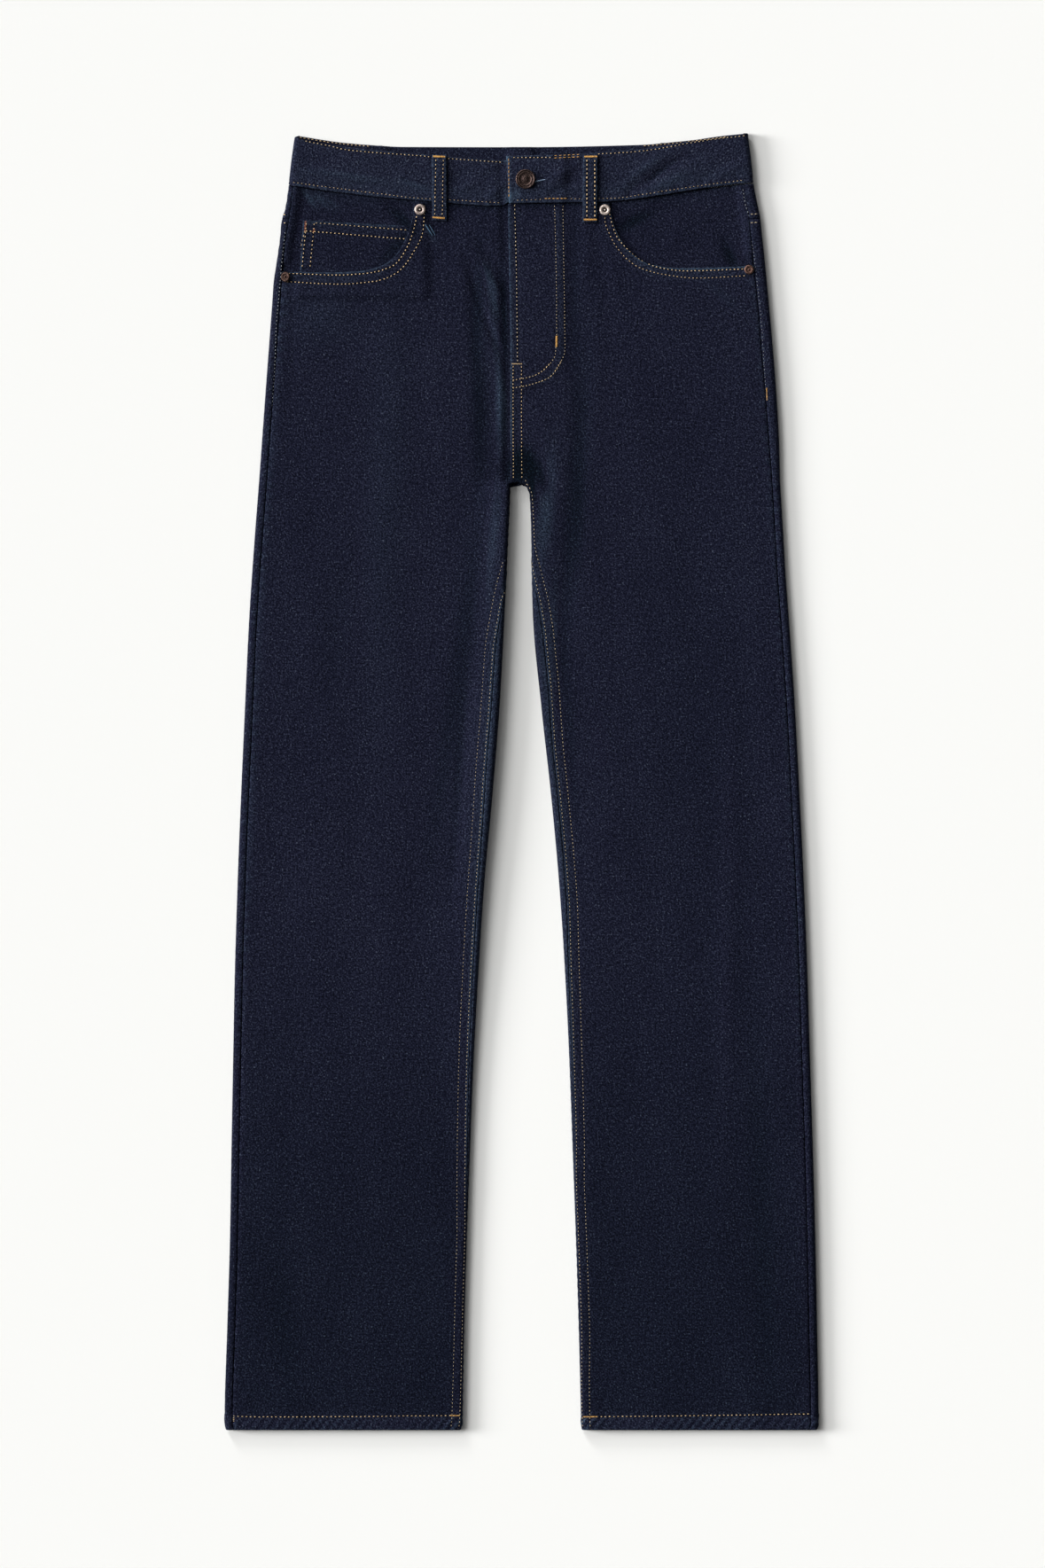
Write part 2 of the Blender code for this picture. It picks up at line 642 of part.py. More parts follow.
def back_leg(side, name):
    rows = [back_leg_row(side, y) for y in LEG_ROWS]
    rows.append(back_leg_row(side, CROTCH - 7.0))
    rows.append(back_leg_row(side, CROTCH - 4.6))
    rows += [back_hip_row(side, y) for y in HIP_ROWS_BACK]
    rows += [seam_row(side, -SEAM / 2.0, t) for t in (0.33, 0.66, 1.0)]
    look = denim("denim back " + ("right" if side == RIGHT else "left"))
    return cloth_panel(name, rows, CLOTH, look, side == RIGHT, 3, HEM_WALL)


def yoke(side, name):
    """Between the yoke seam and the waistband, round the side fold to the front."""
    fold_x = outer_edge(side, 514.0)
    side_low = back_band_bottom(fold_x) - SEAM
    side_high = front_band_bottom(side, fold_x) - 2.0 * SEAM
    rows = []
    side_seam = YOKE_SEAM_SIDE + SEAM / 2.0
    xs = [side * out for out in (SEAM / 2.0, 4.0) + HALF_BACK]
    line = [(x, yoke_seam(side, x) + SEAM / 2.0) for x in xs]
    rows.append([(x, y, back_rise(side, x, y)) for x, y in line] + outer_wrap(side, side_seam))
    for below in YOKE_ROWS:
        line = [(x, back_band_bottom(x) - SEAM - below) for x in xs]
        share = 1.0 - below / (side_low - side_seam)
        wrap = outer_wrap(side, mix(side_seam, side_low, share), mix(side_seam, side_high, share))
        rows.append([(x, y, back_rise(side, x, y)) for x, y in line] + wrap)
    look = denim("denim yoke " + ("right" if side == RIGHT else "left"))
    return cloth_panel(name, rows, CLOTH, look, side == RIGHT)


# ---- waistband ---------------------------------------------------------------------------------------
def band_back_height(x):
    """Underside of the band's back half, over the three loops."""
    rise = 0.0
    for at in (-BACK_LOOP_AT, 0.0, BACK_LOOP_AT):
        rise = max(rise, 1.0 - ease((abs(x - at) - LOOP_WIDTH / 2.0 - 1.0) / 8.0))
    return LAYER * rise


def band_front_height(side, x):
    """Outer face of the band's front half."""
    if side == RIGHT:
        return BAND_HEIGHT - UNDER_DROP * ease((x + 24.0) / 8.0)
    return BAND_HEIGHT + OVER_RISE * (1.0 - ease((x - 34.0) / 9.0))


def waistband(name):
    """One strip: the right front end, the right fold, the back, the left fold and the left front end."""
    radius = BAND_HEIGHT / 2.0
    quarter = radius * math.pi / 2.0
    columns = []
    for x in reversed(BAND_COLUMNS_RIGHT):
        columns.append(("front", RIGHT, x))
    for k in range(BAND_FOLD + 1):
        columns.append(("fold", RIGHT, mix(quarter, -quarter, k / BAND_FOLD)))
    for x in BAND_COLUMNS_BACK:
        columns.append(("back", LEFT if x > 0 else RIGHT, x))
    for k in range(BAND_FOLD + 1):
        columns.append(("fold", LEFT, mix(-quarter, quarter, k / BAND_FOLD)))
    for x in reversed(BAND_COLUMNS_LEFT):
        columns.append(("front", LEFT, x))

    rows = []
    for share in (0.0, 0.34, 0.67, 1.0):
        row = []
        for kind, side, at in columns:
            table = FRONT_BAND_RIGHT if side == RIGHT else FRONT_BAND_LEFT
            if kind == "front":
                top = read_table(table, "x", "top", at)
                y = top - read_table(table, "x", "depth", at) * (1.0 - share)
                slant = OVER_END_SLANT if at == BAND_COLUMNS_LEFT[0] else 0.0
                row.append((at + slant * (1.0 - share), y, band_front_height(side, at)))
            elif kind == "back":
                top = read_table(BACK_BAND, "x", "top", at)
                y = top - read_table(BACK_BAND, "x", "depth", at) * (1.0 - share)
                row.append((at, y, band_back_height(at)))
            else:
                up = (at / quarter + 1.0) / 2.0
                end = side * 194.0
                top = mix(read_table(BACK_BAND, "x", "top", end), read_table(table, "x", "top", end), up)
                depth = mix(read_table(BACK_BAND, "x", "depth", end),
                            read_table(table, "x", "depth", end), up)
                y = top - depth * (1.0 - share)
                row.append(wrapped(outer_edge(side, y), -side, at, radius, y))
        rows.append(row)
    return cloth_panel(name, rows, BAND_WALL, denim("denim waistband", 1.15), False)


# ---- pockets and fly ---------------------------------------------------------------------------------
def opening_y(side, x):
    """Y of the pocket opening's edge at x, or of the waistband seam inside it."""
    opening = RIGHT_OPENING if side == RIGHT else LEFT_OPENING
    return read_table(opening, "x", "y", x)


def pocket_facing(side, name):
    """From the side seam to just past the opening, under the front."""
    opening = RIGHT_OPENING if side == RIGHT else LEFT_OPENING
    end = opening[-1].x - side * FACING_PAST
    columns = 11
    rows = []
    for share in (0.0, 0.12, 0.24, 0.5, 0.75, 1.0):
        row = []
        for k in range(columns + 1):
            t = (k / columns) ** 1.15
            y_seam = mix(opening[0].y - FACING_UNDER, 500.0, share)
            x = mix(outseam_x(side, y_seam, FACING_SIDE_GAP), end, t)
            low = opening_y(side, x + side * 4.0) - FACING_UNDER - 3.0 * t
            high = front_band_bottom(side, x) - SEAM
            low = min(low, high - 14.0)
            y = mix(low, high, share)
            seam = outseam_x(side, y, FACING_SIDE_GAP)
            if k == 0:
                x = seam
            inside = side * (seam - x)
            flush = (1.0 - ease((inside - 1.0) / 8.0)) * ease((y - opening[0].y - 3.0) / 8.0)
            row.append((x, y, FACING_TOP + LAYER * flush))
        rows.append(row)
    look = denim("denim facing " + ("right" if side == RIGHT else "left"))
    return cloth_panel(name, rows, FACING_WALL, look, side == RIGHT)


def coin_pocket(name):
    columns = 9
    rows = []
    for share in (0.0, 0.33, 0.67, 1.0):
        row = []
        for k in range(columns + 1):
            t = k / columns
            x = mix(COIN_SIDE, COIN_END, t)
            high = mix(COIN_TOP_SIDE, COIN_TOP_END, t)
            low = min(opening_y(RIGHT, x) - COIN_UNDER, COIN_LEAST)
            row.append((x, mix(low, high, share), LEG_HEIGHT))
        rows.append(row)
    return cloth_panel(name, rows, CLOTH, denim("denim coin pocket", 1.05), True)


def back_pocket(side, name):
    """A plain five-sided patch, flat on the surface under its back leg."""
    columns = 6
    rows = []
    for share in (0.0, 0.5, 1.0):
        row = []
        for k in range(columns + 1):
            t = k / columns
            slant = mix(4.0, 0.0, share)
            x = mix(POCKET_INSIDE + slant, POCKET_INSIDE + POCKET_WIDTH - slant, t)
            low = POCKET_TOP - mix(POCKET_POINT, POCKET_SIDE, abs(2.0 * t - 1.0))
            row.append((side * x, mix(low, POCKET_TOP, share), 0.0))
        rows.append(row)
    look = denim("denim back pocket " + ("right" if side == RIGHT else "left"))
    return cloth_panel(name, rows, CLOTH, look, side == RIGHT)


def fly_facing(name):
    """J-shaped, between the left front and the underlap."""
    rows = []
    for above in (0.0, 5.0, 14.0, 28.0, 53.0, 79.0, 98.0, FLY_LAYERS_TOP - FLY_FACING_BOTTOM):
        y = FLY_FACING_BOTTOM + above
        bend = clamp(1.0 - above / FLY_FACING_CURVE)
        end = fly_edge(y) + FLY_FACING_WIDTH - FLY_FACING_CURVE * (1.0 - math.sqrt(1.0 - 0.98 * bend ** 2))
        rows.append([(mix(-3.0, end, t), y, 5.4) for t in (0.0, 0.25, 0.5, 0.75, 1.0)])
    return cloth_panel(name, rows, CLOTH, denim("denim fly facing"), True)


def fly_underlap(name):
    """Sewn to the right front's edge, under the facing."""
    rows = []
    for k in range(6):
        y = mix(FLY_FACING_BOTTOM + 8.0, FLY_LAYERS_TOP, k / 5)
        rows.append([(mix(SEAM, UNDERLAP_WIDTH, t), y, 3.5) for t in (0.0, 0.5, 1.0)])
    return cloth_panel(name, rows, CLOTH, denim("denim fly underlap"), True)


# ---- belt loops --------------------------------------------------------------------------------------
def front_loop(side, name, centre, bottom, top):
    """A strip over the waistband, its lower end on the front panel."""
    band_low = front_band_bottom(side, centre)
    leg_z = LEG_HEIGHT + SEAM + LOOP_WALL
    band_z = BAND_HEIGHT + SEAM + LOOP_WALL
    rows = []
    for k in range(11):
        y = mix(bottom, top, k / 10)
        up = ease((y - (band_low - 7.0)) / 6.0)
        bow = 0.9 * math.sin(math.pi * clamp((y - band_low) / (top - band_low)))
        z = mix(leg_z, band_z, up) + bow
        lean = side * -0.4 * (1.0 - k / 10)
        rows.append([(centre + lean + FRONT_LOOP_WIDTH * (t - 0.5), y, z) for t in (0.0, 0.5, 1.0)])
    return cloth_panel(name, rows, LOOP_WALL, denim("denim loop", 1.2), True)


def back_loop(name, centre):
    top = read_table(BACK_BAND, "x", "top", centre)
    bottom = back_band_bottom(centre) - BACK_LOOP_BELOW
    rows = []
    for k in range(5):
        y = mix(bottom, top, k / 4)
        rows.append([(centre + LOOP_WIDTH * (t - 0.5), y, 0.0) for t in (0.0, 0.5, 1.0)])
    return cloth_panel(name, rows, CLOTH, denim("denim loop", 1.2), False)


# ---- metal -------------------------------------------------------------------------------------------
def turned(name, profile, steps, look):
    """A solid of revolution: profile of (radius, height) in mm, from the top of its axis down."""
    mesh = bpy.data.meshes.new(name)
    shape = bmesh.new()
    points = [shape.verts.new((r * MM, 0.0, z * MM)) for r, z in profile]
    for a, b in zip(points, points[1:]):
        shape.edges.new((a, b))
    shape.to_mesh(mesh)
    shape.free()
    made = add_object(name, mesh, look, garment)
    screw = made.modifiers.new("turn", "SCREW")
    screw.steps = steps
    screw.render_steps = steps
    screw.use_merge_vertices = True
    screw.merge_threshold = 0.00001
    screw.use_normal_flip = False
    return made


def rivet(name, at, z, radius, tilt=0.0):
    """A dished washer with a raised nipple; tilt leans its face towards -X."""
    profile = [
        (0.0, 1.5), (0.16 * radius, 1.35), (0.24 * radius, 0.75), (0.44 * radius, 0.7),
        (0.58 * radius, 1.15), (0.85 * radius, 1.0), (radius, 0.45), (0.96 * radius, 0.0), (0.0, 0.0),
    ]
    made = turned(name, profile, 20, copper("antique copper"))
    made.location = Vector((at[0], at[1], z)) * MM
    made.rotation_euler = (0.0, -math.radians(tilt), 0.0)
    return made


def button(name):
    """The head of a shank button, with a rim, a ring and a raised middle."""
    r = BUTTON_RADIUS
    profile = [
        (0.0, 3.0), (0.30 * r, 2.95), (0.36 * r, 2.6), (0.58 * r, 2.6), (0.64 * r, 2.85), (0.80 * r, 2.85),
        (0.86 * r, 3.3), (0.95 * r, 3.25), (r, 2.7), (0.97 * r, 1.6), (0.80 * r, 1.2),
        (0.36 * r, 1.1), (0.34 * r, 0.0), (0.0, 0.0),
    ]
    made = turned(name, profile, 28, material("dark bronze", (0.055, 0.05, 0.048), 0.45, 1.0))
    made.location = Vector((BUTTON_AT[0], BUTTON_AT[1], BAND_HEIGHT + OVER_RISE + SEAM)) * MM
    return made


# ---- the garment -------------------------------------------------------------------------------------
for old in list(bpy.data.objects):
    bpy.data.objects.remove(old, do_unlink=True)

parts = bpy.data.collections.new("straight_leg_jeans")
bpy.context.scene.collection.children.link(parts)
garment = bpy.data.objects.new("garment", None)
parts.objects.link(garment)

for side, word in ((RIGHT, "right"), (LEFT, "left")):
    front_leg(side, f"front_leg_{word}")
    back_leg(side, f"back_leg_{word}")
    yoke(side, f"yoke_back_{word}")
    pocket_facing(side, f"pocket_facing_{word}")
    back_pocket(side, f"back_pocket_{word}")
    back_loop(f"belt_loop_back_{word}", side * BACK_LOOP_AT)

back_loop("belt_loop_back_centre", 0.0)
waistband("waistband")
coin_pocket("coin_pocket")
fly_facing("fly_facing")
fly_underlap("fly_underlap")
front_loop(RIGHT, "belt_loop_front_right", -70.6, 480.4, 537.2)
front_loop(LEFT, "belt_loop_front_left", 58.9, 480.4, 538.6)
button("button")
rivet("rivet_top_right", (-87.0, 490.0), LEG_HEIGHT + LAYER + SEAM, 4.8)
rivet("rivet_top_left", (71.4, 489.9), LEG_HEIGHT + SEAM, 4.8)
rivet("rivet_side_right", (-202.2, 432.4), LEG_HEIGHT + 1.1, 4.6, 7.5)
rivet("rivet_side_left", (194.9, 438.7), LEG_HEIGHT + SEAM, 4.2)
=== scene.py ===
# %% [markdown]
# # Straight leg jeans, laid flat
#
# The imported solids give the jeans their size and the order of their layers. Here each solid wall gets its
# cloth: a thin shell with the same outline, finer creases, rolled edges, a turned hem, sewing and a dyed,
# woven finish. The solids stay in the model as the fixed frame, so it is loaded first and never moved.

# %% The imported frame
import math

import bmesh
import bpy
import numpy as np
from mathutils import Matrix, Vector
from mathutils.bvhtree import BVHTree


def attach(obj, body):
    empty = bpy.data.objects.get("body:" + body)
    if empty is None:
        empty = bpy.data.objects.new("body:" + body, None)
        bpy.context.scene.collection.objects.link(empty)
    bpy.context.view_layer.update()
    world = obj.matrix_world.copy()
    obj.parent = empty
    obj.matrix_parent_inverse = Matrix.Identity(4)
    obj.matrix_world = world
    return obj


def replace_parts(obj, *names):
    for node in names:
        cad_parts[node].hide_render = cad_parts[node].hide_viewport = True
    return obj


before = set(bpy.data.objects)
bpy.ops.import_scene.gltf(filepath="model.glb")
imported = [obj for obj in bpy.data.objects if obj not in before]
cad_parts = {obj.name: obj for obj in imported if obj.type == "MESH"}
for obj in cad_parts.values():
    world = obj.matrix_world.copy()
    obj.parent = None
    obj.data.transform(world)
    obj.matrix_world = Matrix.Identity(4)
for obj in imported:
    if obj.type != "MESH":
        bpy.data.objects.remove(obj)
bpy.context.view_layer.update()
print("nodes in the frame:", len(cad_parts))

# %% [markdown]
# ## Sizes
#
# All lengths are in millimetres until a mesh is written. +X is the wearer's left, +Y runs to the waist and
# +Z points up from the surface. A table has a row for each section, and a smooth curve runs through each
# of its columns, so that a sleeve of cloth can be read at any height.

# %% Sizes and small helpers
MM = 0.001
RIGHT, LEFT = -1, 1
CLOTH = 0.8  # one layer of the visible cloth
LAYER = 1.9  # one layer of the solids' cloth, with the air below it
LEG_HEIGHT = 6.7
RADIUS = LEG_HEIGHT / 2.0  # of a leg's side folds
QUARTER = RADIUS * math.pi / 2.0  # a quarter turn along such a fold
BAND_HEIGHT = 8.1
GAP = 0.3  # between two pieces at a seam
CROTCH = 257.5
HEM_BOTTOM = -555.9
HEM_ROW = -544.2
RISE_FROM = 345.0  # from here up the fronts' rows bend to the pocket opening


def mix(a, b, t):
    return a + (b - a) * t


def ease(t):
    """0 to 1 with soft ends."""
    t = np.clip(t, 0.0, 1.0)
    return t * t * (3.0 - 2.0 * t)


def bell(d, width):
    """1 at 0, and about a third at the width."""
    return np.exp(-(d / width) ** 2)


def curve(xs, ys):
    """A smooth function through the points, flat where they turn."""
    xs, ys = np.array(xs, float), np.array(ys, float)
    if xs[0] > xs[-1]:
        xs, ys = xs[::-1], ys[::-1]
    steps = np.diff(ys) / np.diff(xs)
    slopes = np.concatenate(([steps[0]], np.zeros(len(xs) - 2), [steps[-1]]))
    for i in range(1, len(xs) - 1):
        if steps[i - 1] * steps[i] > 0.0:
            slopes[i] = 2.0 * steps[i - 1] * steps[i] / (steps[i - 1] + steps[i])

    def read(x):
        x = np.clip(x, xs[0], xs[-1])
        k = np.clip(np.searchsorted(xs, x, side="right") - 1, 0, len(xs) - 2)
        span = xs[k + 1] - xs[k]
        t = (x - xs[k]) / span
        low = (2.0 * t ** 3 - 3.0 * t ** 2 + 1.0) * ys[k] + (t ** 3 - 2.0 * t ** 2 + t) * span * slopes[k]
        high = (3.0 * t ** 2 - 2.0 * t ** 3) * ys[k + 1] + (t ** 3 - t ** 2) * span * slopes[k + 1]
        return low + high

    return read


def columns_of(rows):
    """One smooth curve over the first column for each of the others."""
    turned = list(zip(*rows))
    return [curve(turned[0], column) for column in turned[1:]]


def wobble(at, seed, pitch):
    """An uneven wave of about the given pitch, from -1 to 1."""
    slow = 1.1 * np.sin(at / (pitch * 1.9) + seed * 2.3) + 0.8 * np.sin(at / (pitch * 3.7) + seed * 5.1)
    size = 0.62 + 0.38 * np.sin(at / (pitch * 2.6) + seed * 1.7)
    return size * np.sin(at * 2.0 * math.pi / pitch + slow + seed)


print("folded edge radius", RADIUS, "mm, over a cloth of", CLOTH, "mm")

# %% [markdown]
# ## The legs' outline
#
# Each leg is read from sections across it: how far its outer and inner folds lie from the centre line,
# how far the side seam lies in from the outer fold, and how far round the inner fold the inseam lies.
# That last one is measured along the cloth, 0 at the fold's outermost line and up over the front.

# %% Leg sections
# y, outer fold, inner fold, side seam in from the outer fold
RIGHT_LEG = (
    (-555.9, 253.2, 52.3, 7), (-551, 254.4, 51, 7), (-545, 254.6, 50.7, 7), (-469, 252.4, 49.2, 7),
    (-393, 250.1, 47, 7), (-317, 248.8, 44.2, 7), (-241, 247.4, 41.2, 7), (-165, 245.9, 37, 7),
    (-89, 243.6, 32, 7), (-13, 240.6, 25, 7), (63, 237.2, 18.9, 7), (139, 233.6, 14.7, 7),
    (215, 228.4, 11.1, 7), (256, 225.2, 9.6, 7), (329, 219.9, 9.6, 7), (412, 213.7, 9.6, 7.2),
    (428, 212.6, 9.6, 7.1), (443, 210.4, 9.6, 5.9), (458, 208.1, 9.6, 4.9), (468, 206.9, 9.6, 5.5),
    (477, 206.3, 9.6, 6.6), (484, 204.9, 9.6, 6.3), (492, 202.4, 9.6, 4.9), (514, 199.3, 9.6, 4.7),
    (524, 198.2, 9.6, 4.7), (552, 194.7, 9.6, 4.2),
)
LEFT_LEG = (
    (-555.9, 253.3, 51.9, 7), (-551, 254.4, 51.2, 7), (-545, 254.6, 51, 7), (-469, 253.4, 49, 7),
    (-393, 251.9, 46.6, 7), (-317, 249.8, 43.8, 7), (-241, 247.4, 41, 7), (-165, 245.1, 37.3, 7),
    (-89, 242.1, 32.3, 7), (-13, 238.4, 25.4, 7), (63, 234.4, 17, 7), (139, 229.2, 9.8, 7),
    (177, 226.4, 8.7, 7), (215, 224.2, 8.2, 7), (245, 222.4, 6.8, 7), (253, 221.9, 4.2, 7),
    (256, 221.7, 1.5, 7), (290, 220.8, 1.5, 8.7), (329, 218.7, 1.5, 9.6), (370, 215.6, 1.5, 9.9),
    (412, 211.8, 1.5, 9.6), (443, 208.9, 1.5, 9.9), (458, 207.4, 1.5, 10), (468, 206.2, 1.5, 9.8),
    (484, 204.5, 1.5, 9.9), (492, 202.8, 1.5, 9.4), (500, 201.1, 1.5, 8.9), (514, 198.7, 1.5, 8.5),
    (524, 197.6, 1.5, 8.4), (552, 194.3, 1.5, 7.9),
)
# y, inseam's place round the inner fold
RIGHT_INSEAM = (
    (-555.9, 2.2), (-464.7, 1.5), (-398.6, 1.5), (-339.3, 3.4), (-270.9, 5.1), (-163.8, 6.6), (-74.9, 7.2),
    (-32.3, 8.2), (20.9, 9.3), (65, 9), (113, 8.3), (139, 5.7), (167.6, 1.6), (187, -3), (215, -4.4),
    (258, -4.8),
)
LEFT_INSEAM = (
    (-555.9, 0.6), (-522.5, 0.9), (-464.7, 2.5), (-398.6, 2.3), (-347.7, 2.1), (-305, 3.6), (-229.9, 4.3),
    (-160.7, 5.5), (-91.6, 7.7), (-49, 7.8), (21.7, 8), (58.9, 9.3), (93.1, 10.4), (123.5, 10.2),
    (151.6, 7.4), (178.2, 1.7), (207.9, -4.4), (258, -4.8),
)


class Leg:
    """One leg's edges as curves over y."""

    def __init__(self, side, rows, inseam):
        self.side = side
        self.outer, self.inner, self.outseam = columns_of(rows)
        self.inseam = columns_of(inseam)[0]

    def grain(self, y):
        """X of the cloth's grain line, which leans outwards below the crotch."""
        return self.side * 36.0 * np.clip((CROTCH - y) / (CROTCH - HEM_BOTTOM), 0.0, 1.0) ** 1.15


legs = {RIGHT: Leg(RIGHT, RIGHT_LEG, RIGHT_INSEAM), LEFT: Leg(LEFT, LEFT_LEG, LEFT_INSEAM)}


def arc_inside(s):
    """How far inside the fold's outermost line the cloth is, after s round it."""
    return np.where(np.abs(s) < QUARTER, RADIUS * (1.0 - np.cos(s / RADIUS)), RADIUS + np.abs(s) - QUARTER)


def arc_height(s):
    """How high the cloth is, after s round the fold."""
    return np.where(np.abs(s) < QUARTER, RADIUS + RADIUS * np.sin(s / RADIUS), RADIUS + RADIUS * np.sign(s))


def arc_normal(s):
    """Outwards and upwards parts of the cloth's normal at s."""
    out = np.where(np.abs(s) < QUARTER, np.cos(s / RADIUS), 0.0)
    up = np.where(np.abs(s) < QUARTER, np.sin(s / RADIUS), np.sign(s))
    return out, up


print("hem opening laid flat:", round(legs[RIGHT].outer(-550.0) - legs[RIGHT].inner(-550.0), 1), "mm")

# %% [markdown]
# ## Top edges
#
# The fronts end on two lines: the curved pocket opening and the waistband seam. The waistband itself is
# read from its top edge and its depth, once for the front halves and once for the back.

# %% Pocket openings, waistband, yoke and fly lines
# x, y of the pocket openings, from the side seam to the waistband
RIGHT_OPENING = (
    (-205, 436.9), (-185, 436.4), (-163, 436.4), (-141.7, 437), (-123, 440.9), (-110.6, 448),
    (-100.5, 462.5), (-94.6, 478.5), (-93, 485.5), (-92, 497),
)
LEFT_OPENING = (
    (199, 442.2), (180, 441.1), (157, 440.2), (133.4, 440), (110.2, 443.4), (96.1, 451.1), (84, 466.3),
    (78.8, 478.5), (76.9, 486), (75.4, 496.5),
)
# x, top edge, depth
FRONT_BAND_RIGHT = (
    (-194, 551.4, 41.3), (-170, 546.4, 39.8), (-150, 543.9, 39.9), (-122, 540.9, 40.2), (-76, 537, 40.2),
    (-17, 532.6, 39.4), (-9, 532.6, 36), (32, 532.6, 35.6),
)
FRONT_BAND_LEFT = (
    (-14, 536.2, 41), (40, 537.6, 41.6), (76, 540.2, 43.2), (100, 542, 42.6), (120, 544.6, 42.2),
    (143, 548.8, 42.6), (170, 553, 43), (194, 555.5, 42.7),
)
BACK_BAND = (
    (-194, 553.9, 41.3), (-150, 547.5, 41), (-100, 544.2, 41), (0, 544, 41), (100, 545.9, 41.4),
    (150, 550.4, 42.2), (194, 555.9, 42.7),
)
YOKE_SEAM_CENTRE, YOKE_SEAM_SIDE = 442.7, 482.2
FLY_WIDTH = 46.8  # from the fly edge to the outer line of the J
FLY_LOW = 336.0
LOOP_AT = {RIGHT: -70.6, LEFT: 58.9}
BACK_LOOP_AT = 125.0
BUTTON_AT = (3.3, 516.0)

openings = {RIGHT: np.array(RIGHT_OPENING), LEFT: np.array(LEFT_OPENING)}
front_top = {RIGHT: columns_of(FRONT_BAND_RIGHT), LEFT: columns_of(FRONT_BAND_LEFT)}
back_top = columns_of(BACK_BAND)


def front_band_bottom(side, x):
    """Y of the waistband's lower edge over the fronts."""
    top, depth = front_top[side]
    return top(x) - depth(x)


def back_band_bottom(x):
    return back_top[0](x) - back_top[1](x)


def yoke_seam(side, x):
    """Y of the seam between back and yoke, which rises to the side."""
    return mix(YOKE_SEAM_CENTRE, YOKE_SEAM_SIDE, np.clip(side * x / 200.0, 0.0, 1.0))


def fly_edge(y):
    """X of the left front's edge, which laps past the middle."""
    return mix(-9.5, -11.5, ease((y - 360.0) / 140.0))


def fly_curve(y):
    """X of the J's outer line."""
    bend = np.clip((FLY_LOW + 34.0 - y) / 34.0, 0.0, 1.0)
    return fly_edge(y) + FLY_WIDTH - 38.0 * (1.0 - np.sqrt(np.maximum(1.0 - bend ** 2, 0.0)))


def distances(points):
    """How far along a line of points each of them lies."""
    return np.concatenate(([0.0], np.cumsum(np.linalg.norm(np.diff(points, axis=0), axis=1))))


def resample(points, count):
    """count places evenly along a line of points."""
    points = np.array(points, float)
    runs = distances(points)
    at = np.linspace(0.0, runs[-1], count)
    return np.stack([np.interp(at, runs, column) for column in points.T], axis=1)


def smoothed(points):
    """A rounder line through a few points."""
    points = np.array(points, float)
    runs = distances(points)
    at = np.linspace(0.0, runs[-1], 240)
    return np.stack([curve(runs, column)(at) for column in points.T], axis=1)


print("front waistband is", round(front_top[LEFT][1](120.0), 1), "mm deep")
